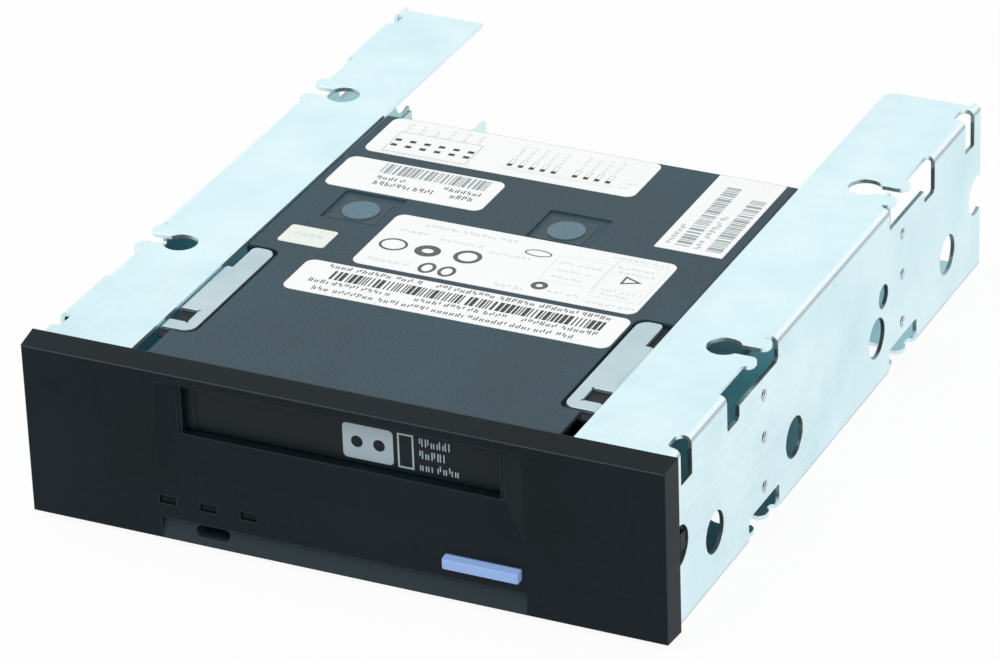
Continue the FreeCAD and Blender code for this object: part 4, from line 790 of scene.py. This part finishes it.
# %% [markdown]
# ## Serial label
# This label was stuck on turned by a right angle, so its bars lie across the drive.

# %% Serial label
serial = sheet_on("serial_label")
patches = [barcode(serial, (3.9, 7.3, 2.4, 31.9), ink_grey, 51, 0.36, turned=True),
           barcode(serial, (11.3, 14.9, 2.1, 27.9), ink_grey, 52, 0.36, turned=True),
           word_row(serial, (1.6, 2.9, 2.6, 11.9), ink_grey, 53, 0.3, turned=True),
           word_row(serial, (8.4, 9.9, 2.2, 18.7), ink_grey, 54, 0.3, turned=True)]
finish_print("serial_print", patches)

# %% [markdown]
# ## Rating label
# The label in front of the pads has small pale print round a few plain rings and two boxes.
# Nothing on it is a real mark: the rings are empty and the triangle is a plain outline.

# %% Rating label
rating = sheet_on("rating_label")
patches = [printed_outline(rating, (54.1, 66.0, 4.6, 21.6), 0.1, ink_pale),
           printed_outline(rating, (41.2, 53.8, 7.6, 19.3), 0.1, ink_pale),
           printed_outline(rating, (56.9, 62.9, 11.5, 15.9), 0.5, ink_dark, sides=3,
                           turn=-pi / 2)]
for x, y, wide, deep, line in ((5.3, 10.7, 6.6, 5.6, 0.6), (13.6, 10.6, 6.0, 5.2, 1.6),
                               (22.9, 11.2, 6.4, 6.0, 1.0), (16.9, 3.4, 4.0, 4.8, 0.8),
                               (21.6, 3.4, 4.0, 4.8, 0.8), (36.4, 18.4, 6.4, 3.0, 0.35),
                               (42.8, 4.9, 3.8, 3.6, 1.1)):
    patches.append(printed_outline(rating, (x - wide / 2, x + wide / 2, y - deep / 2,
                                            y + deep / 2), line, ink_dark, sides=28))
patches += word_rows(rating, ink_pale, 61, 0.3, (
    (8.0, 30.0, 20.8, 22.2), (26.5, 37.0, 14.6, 15.6), (3.5, 11.0, 17.0, 18.2),
    (14.0, 24.0, 16.2, 17.2), (3.0, 12.5, 2.4, 3.8), (33.5, 40.0, 1.4, 3.0),
    (45.5, 52.5, 2.8, 4.0), (55.2, 64.8, 18.4, 19.4), (56.0, 64.4, 16.4, 17.3),
    (55.6, 65.0, 7.8, 8.8), (56.4, 64.0, 5.8, 6.8), (42.4, 52.4, 15.8, 16.8),
    (43.4, 51.2, 12.6, 13.5), (43.4, 51.0, 9.4, 10.4), (52.5, 65.0, 22.2, 23.2),
    (55.0, 66.0, 1.4, 2.6)))
finish_print("rating_print", patches)

# %% [markdown]
# ## Date sticker
# One faint stamped row is enough here.

# %% Date sticker
date_sheet = sheet_on("date_label")
finish_print("date_print", [word_row(date_sheet, (2.6, 9.6, 3.8, 5.4), ink_pale, 81, 0.35)])

# %% [markdown]
# ## The mark on the door
# The door carries a silver print: a plain picture of a cartridge with its two reel
# holes, a small empty frame beside it, and three rows of ticks in place of words. The
# cartridge is a plate with rounded corners, and the reel holes are cut through it.

# %% Door mark
door_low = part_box("cartridge_door")[0]
band_rise = 0.15        # millimetres that the door's outer band stands out from its face
mark_sheet = (Vector((0.0, door_low.y + (band_rise - 0.002) * mm, door_low.z)), facing_front)
silver = printed_ink("mark_silver", (0.36, 0.45, 0.49), 0.05)

mark_bottom = 1.0
mark_height = 8.1
mark_top = mark_bottom + mark_height
mark_middle = (mark_bottom + mark_top) / 2
plate_width = 11.6
reel_radius = 1.35
word_height = 1.9
word_pitch = 2.85


def pick_all():
    bpy.ops.mesh.select_all(action="SELECT")


deselect()
bpy.ops.mesh.primitive_plane_add(size=1)
plate = stretch_patch((0.0, plate_width, mark_bottom, mark_top))
mode("EDIT")
pick_all()
bpy.ops.mesh.bevel(affect="VERTICES", offset=1.0 * mm, segments=5)
mode("OBJECT")
apply_modifier(plate, "SOLIDIFY", thickness=ink_depth, offset=1)
for across in (0.28, 0.72):
    deselect()
    bpy.ops.mesh.primitive_cylinder_add(vertices=32, radius=reel_radius * mm, depth=1 * mm,
                                        location=(plate_width * across * mm,
                                                  mark_middle * mm, 0))
    punch = bpy.context.object
    apply_modifier(plate, "BOOLEAN", object=punch, operation="DIFFERENCE", solver="EXACT")
    bpy.data.objects.remove(punch)
plate.location, plate.rotation_euler = mark_sheet
settle(plate)
plate.data.materials.append(silver)

patches = [plate, printed_outline(mark_sheet, (12.6, 16.3, mark_bottom, mark_top), 0.4,
                                  silver)]
for row, length in enumerate((9.3, 5.7, 7.2)):
    bottom = mark_bottom + 0.2 + row * word_pitch
    patches.append(word_row(mark_sheet, (17.6, 17.6 + length, bottom, bottom + word_height),
                            silver, 91 + row, 0.26))
finish_print("door_mark", patches, "door")

# %% [markdown]
# ## Films under the pads
# Each grey pad sits on a square of film that was pressed into the lid's recess and took on
# the lid's tone. It only shows by its outline and by a slightly smoother face. A plane the
# size of the film gets clipped corners and then the film's thickness.

# %% Pad films
film, film_tree = finish("clear_film", (0.030, 0.062, 0.080), 0.35, specular=0.25)
haze = clouds(film_tree, surface_place(film_tree), 2.5 * mm, 2.0)
vary(film_tree, "Roughness", spread(film_tree, haze, 0.3, 0.7, 0.32, 0.48))
vary(film_tree, "Base Color", blend(film_tree, spread(film_tree, haze, 0.3, 0.7),
                                    (0.026, 0.055, 0.071), (0.031, 0.064, 0.082)))
film_width = 11.4 * mm
film_length = 10.4 * mm
film_depth = 0.06 * mm
film_lift = 0.01 * mm   # clear of the recess's floor
film_clip = 0.5 * mm

for side in ("left", "right"):
    pad_low, pad_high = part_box(side + "_cover_pad")
    middle = (pad_low + pad_high) / 2
    deselect()
    bpy.ops.mesh.primitive_plane_add(size=1, location=(middle.x, middle.y,
                                                       pad_low.z + film_lift))
    piece = bpy.context.object
    piece.scale = (film_width, film_length, 1)
    settle(piece)
    apply_modifier(piece, "BEVEL", affect="VERTICES", width=film_clip, segments=2)
    apply_modifier(piece, "SOLIDIFY", thickness=film_depth, offset=1)
    piece.name = side + "_pad_film"
    piece.data.materials.append(film)
    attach(piece, "drive_frame")
print("films", [round(side * 1000, 1) for side in (film_width, film_length)], "mm")

# %% [markdown]
# ## Threads in the side holes
# The brackets are tapped for machine screws. A thread is a small triangle swept round
# the hole: it starts as a circle of three points standing on the hole's wall, and a Screw
# modifier carries it round and inwards. Filling the two open ends closes the shell. The
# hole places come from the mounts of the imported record.

# %% Side hole threads
thread_pitch = 0.4 * mm
thread_turns = 2
thread_tooth = 0.26 * mm
thread_bite = 0.4       # share of the tooth that stands inside the hole's wall
thread_inset = 0.15 * mm
# Painted light: the threads get a brighter copy of the bracket's zinc, so that their lower
# turns read as a bright reflection in each hole.
brightened_thread_zinc = plated_sheet("brightened_thread_zinc", (0.95, 1.0, 1.0), (0.86, 0.95, 0.97), 0.30)


def face_outwards():
    """Turn every face of the mesh in Edit Mode outwards, and go back to Object Mode."""
    pick_all()
    bpy.ops.mesh.normals_make_consistent(inside=False)
    mode("OBJECT")


def thread(place, radius, inwards):
    """A thread round the X axis at place, cut inwards along X from the outer face."""
    deselect()
    bpy.ops.mesh.primitive_circle_add(vertices=3, radius=thread_tooth, fill_type="NOTHING",
                                      rotation=(pi / 2, 0, 0),
                                      location=(radius - thread_tooth * thread_bite, 0, 0))
    ring = settle(bpy.context.object)
    apply_modifier(ring, "SCREW", axis="Z", angle=2 * pi, screw_offset=thread_pitch,
                   iterations=thread_turns, steps=20, render_steps=20,
                   use_normal_calculate=True)
    mode("EDIT")
    pick_all()
    bpy.ops.mesh.fill_holes(sides=3)
    face_outwards()
    ring.rotation_euler = (0, inwards * pi / 2, 0)
    ring.location = place
    return settle(ring)


for side, name in ((1, "right"), (-1, "left")):
    rings = []
    for mount in frame["record"]["mounts"]:
        if not mount["name"].startswith(name) or "side_holes" not in mount["name"]:
            continue
        sizes = mount["dims"]
        centre = Vector(mount["pos_m"])
        rise = sizes.get("spacing_y_mm", 0) / 2 * mm
        for along in (-0.5, 0.5):
            for up in sorted({-rise, rise}):
                place = centre + Vector((-side * thread_inset,
                                         along * sizes["spacing_x_mm"] * mm, up))
                rings.append(thread(place, sizes["hole_r_mm"] * mm, -side))
    piece = join(name + "_bracket_threads", rings)
    piece.data.materials.append(brightened_thread_zinc)
    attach(piece, "drive_frame")
    print(piece.name, len(rings), "threads,", len(piece.data.polygons), "faces")

# %% [markdown]
# ## Data socket
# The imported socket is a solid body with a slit. It gets a plated shell round its collar,
# two rows of contacts in the slit, and the two hexagonal posts that hold a plug's screws.
# The shell starts as an upright plane, narrowed at the top, whose outline is extruded to
# the rear and thickened. One contact gets its edges bevelled and is repeated by an array.
# A post starts as a short hexagon, and its bore is an inset of its end face, pushed in.

# %% Shell of the data socket
socket_low, socket_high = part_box("data_connector")
collar_inset = 2.6 * mm
collar_taper = 1.4 * mm
collar_bottom = socket_low.z + 1.4 * mm
collar_top = socket_high.z - 1.0 * mm
collar_length = 5.0 * mm
slit_level = (collar_bottom + collar_top) / 2
shell_sheet = 0.3 * mm
shell_gap = 0.1 * mm    # between the shell's end and the collar's
socket_middle = (socket_low.x + socket_high.x) / 2
collar_width = socket_high.x - socket_low.x - 2 * collar_inset


def extrude(way):
    bpy.ops.mesh.extrude_region_move(TRANSFORM_OT_translate={"value": way})


deselect()
bpy.ops.mesh.primitive_plane_add(size=1, rotation=(pi / 2, 0, 0),
                                 location=(socket_middle, socket_high.y - collar_length,
                                           slit_level))
shell = bpy.context.object
shell.scale = (collar_width, collar_top - collar_bottom, 1)
settle(shell)
mode("EDIT")
bpy.ops.mesh.select_mode(type="VERT")
bpy.ops.mesh.select_all(action="DESELECT")
shape = bmesh.from_edit_mesh(shell.data)
for vertex in shape.verts:
    vertex.select = vertex.co.z > slit_level
shape.select_flush(True)
bmesh.update_edit_mesh(shell.data)
bpy.ops.transform.resize(value=(1 - 2 * collar_taper / collar_width, 1, 1),
                         center_override=(socket_middle, 0, 0))
pick_all()
bpy.ops.mesh.bevel(affect="VERTICES", offset=0.5 * mm, segments=3)
pick_all()
bpy.ops.mesh.delete(type="ONLY_FACE")
pick_all()
extrude((0, collar_length - shell_gap, 0))
face_outwards()
apply_modifier(shell, "SOLIDIFY", thickness=shell_sheet, offset=1)
shell.name = "data_socket_shell"
shell.data.materials.append(finishes["shaft_steel"])
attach(shell, "drive_frame")
print(shell.name, len(shell.data.polygons), "faces")

# %% Contacts of the data socket
contact_count = 34
contact_size = Vector((0.45, 3.4, 0.22)) * mm
contact_depth = 2.2 * mm        # of a contact's middle behind the collar's end
contact_rise = 0.68 * mm        # of a row above or below the middle of the slit
row_margin = 3.4 * mm
contact_row = collar_width - 2 * row_margin
contact_pitch = contact_row / (contact_count - 1)


def new_block(place, size):
    """A block of this size round a place."""
    deselect()
    bpy.ops.mesh.primitive_cube_add(size=1, location=place)
    bpy.context.object.scale = size
    return settle(bpy.context.object)


def repeat(piece, count, pitch):
    """Repeat a piece along X."""
    return apply_modifier(piece, "ARRAY", count=count, use_relative_offset=False,
                          use_constant_offset=True, constant_offset_displace=(pitch, 0, 0))


rows = []
for up in (-1, 1):
    contact = new_block((socket_middle - contact_row / 2, socket_high.y - contact_depth,
                         slit_level + up * contact_rise), contact_size)
    apply_modifier(contact, "BEVEL", width=0.06 * mm, segments=1)
    rows.append(repeat(contact, contact_count, contact_pitch))
contacts = join("data_socket_contacts", rows)
contacts.data.materials.append(finishes["contact_brass"])
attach(contacts, "drive_frame")
print("data socket:", 2 * contact_count, "contacts")

# %% Posts of the data socket
post_radius = 1.25 * mm
post_length = 1.8 * mm
post_margin = 1.3 * mm          # of a post's middle from the socket's end
post_depth = 4.6 * mm           # of its middle behind the collar's end
post_wall = 0.5 * mm
post_bore = 1.2 * mm            # depth of the bore
post_reach = (socket_high.x - socket_low.x) / 2 - post_margin
posts = []
for side in (-1, 1):
    deselect()
    bpy.ops.mesh.primitive_cylinder_add(vertices=6, radius=post_radius, depth=post_length,
                                        location=(socket_middle + side * post_reach,
                                                  socket_high.y - post_depth, slit_level),
                                        rotation=(pi / 2, 0, 0))
    post = settle(bpy.context.object)
    pick_faces(post, lambda face: face.normal.y > 0.9)
    bpy.ops.mesh.inset(thickness=post_wall)
    extrude((0, -post_bore, 0))
    mode("OBJECT")
    posts.append(post)
post_pair = join("data_socket_posts", posts)
post_pair.data.materials.append(finishes["screw_zinc"])
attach(post_pair, "drive_frame")
print(post_pair.name, len(posts), "posts")

# %% [markdown]
# ## Chip legs
# Every chip on the main board gets a row of bent legs on both long sides. One leg starts
# as a foot, and its end towards the chip is extruded up and then level. An array repeats
# it.

# %% Chip legs
leg_pitch = 1.27 * mm
leg_width = 0.42 * mm
leg_reach = 0.9 * mm
leg_sheet = 0.16 * mm
row_spare = 0.8 * mm        # of a chip's length that has no legs


def solids_of(node):
    """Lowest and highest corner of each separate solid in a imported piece."""
    mesh = bmesh.new()
    mesh.from_mesh(nodes[node].data)
    bmesh.ops.remove_doubles(mesh, verts=mesh.verts, dist=0.001 * mm)
    left = set(mesh.verts)
    found = []
    while left:
        group = [left.pop()]
        for vertex in group:
            for edge in vertex.link_edges:
                other = edge.other_vert(vertex)
                if other in left:
                    left.remove(other)
                    group.append(other)
        low = Vector([min(vertex.co[axis] for vertex in group) for axis in range(3)])
        high = Vector([max(vertex.co[axis] for vertex in group) for axis in range(3)])
        found.append((low, high))
    mesh.free()
    return sorted(found, key=lambda corners: tuple(corners[0]))


def leg_row(low, high, side):
    """Legs along X on one side of a chip whose box runs from low to high."""
    edge = high.y if side > 0 else low.y
    count = int((high.x - low.x - row_spare) / leg_pitch)
    start = (low.x + high.x - (count - 1) * leg_pitch) / 2
    leg = new_block((start, edge + side * leg_reach * 3 / 4, low.z + leg_sheet / 2),
                    (leg_width, leg_reach / 2, leg_sheet))
    pick_faces(leg, lambda face: face.normal.y * side < -0.9)
    for rise in ((high.z - low.z) / 2, 0):
        extrude((0, -side * leg_reach / 4, rise))
    face_outwards()
    return repeat(leg, count, leg_pitch)


legs = [leg_row(low, high, side) for low, high in solids_of("board_chips")
        for side in (-1, 1)]
chip_legs = join("chip_legs", legs)
chip_legs.data.materials.append(finishes["shaft_steel"])
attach(chip_legs, "drive_frame")
print("chip legs:", len(legs), "rows,", len(chip_legs.data.polygons), "faces")

# %% [markdown]
# ## Capacitors
# On the board's tail, between the sockets, stand a few ceramic capacitors in rows. Each is
# a small brown block whose two ends are extruded as soldered caps in a second material.

# %% Capacitors on the board's tail
block_size = Vector((0.8, 1.2, 0.8)) * mm
cap_length = 0.35 * mm
first_row = 1.6 * mm        # from the board's rear edge
row_pitch = 2.6 * mm
column_pitch = 1.5 * mm
capacitor_brown, brown_tree = finish("capacitor_brown", (0.30, 0.20, 0.12), 0.5)
mottle = clouds(brown_tree, surface_place(brown_tree), 0.4 * mm, 3.0)
vary(brown_tree, "Base Color", blend(brown_tree, mottle, (0.34, 0.23, 0.14),
                                     (0.22, 0.15, 0.09)))
board_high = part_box("main_board")[1]
gap_middle = (socket_high.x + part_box("power_connector")[0].x) / 2
capacitors = []
for column in (-1, 0, 1):
    for row in range(3):
        block = new_block((gap_middle + column * column_pitch,
                           board_high.y - first_row - row * row_pitch,
                           board_high.z + block_size.z / 2), block_size)
        block.data.materials.append(capacitor_brown)
        block.data.materials.append(finishes["shaft_steel"])
        for end in (-1, 1):
            pick_faces(block, lambda face: face.normal.y * end > 0.9)
            extrude((0, end * cap_length, 0))
        mode("OBJECT")
        ends = [vertex.co.y for vertex in block.data.vertices]
        inner = cap_length - 0.01 * mm
        for face in block.data.polygons:
            on_block = min(ends) + inner < face.center.y < max(ends) - inner
            face.material_index = 0 if on_block else 1
        capacitors.append(block)
tail_parts = join("board_capacitors", capacitors)
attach(tail_parts, "drive_frame")
print("capacitors:", len(capacitors))

# %% [markdown]
# ## The floor under the drive
# The floor is matt and as white as the world behind it, so that no horizon shows. Part of
# its white is its own, only for the camera and for reflections, which leaves the drive a
# faint soft shadow and throws no extra light on it.

# %% Floor finish
own_white = 0.93        # share of the floor's white that is its own
paper_floor, tree = finish("floor_white", (0.86, 0.87, 0.88), 0.9, specular=0.1)
glow = add(tree, "Emission", Color=(1, 1, 1, 1), Strength=1.0)
path = add(tree, "LightPath")
seen = combine(tree, "MAXIMUM", path.outputs["Is Camera Ray"], path.outputs["Is Glossy Ray"])
mix = add(tree, "MixShader")
link(tree, times(tree, seen, own_white), mix.inputs["Fac"])
link(tree, tree.nodes["Principled BSDF"].outputs["BSDF"], mix.inputs[1])
link(tree, glow.outputs["Emission"], mix.inputs[2])
link(tree, mix.outputs["Shader"], tree.nodes["Material Output"].inputs["Surface"])
floor.data.materials.append(paper_floor)
print("floor", own_white, "white of its own")

# %% [markdown]
# ## View transform
# The camera's picture uses the plain view transform.

# %% View settings
bpy.context.scene.view_settings.view_transform = "Standard"
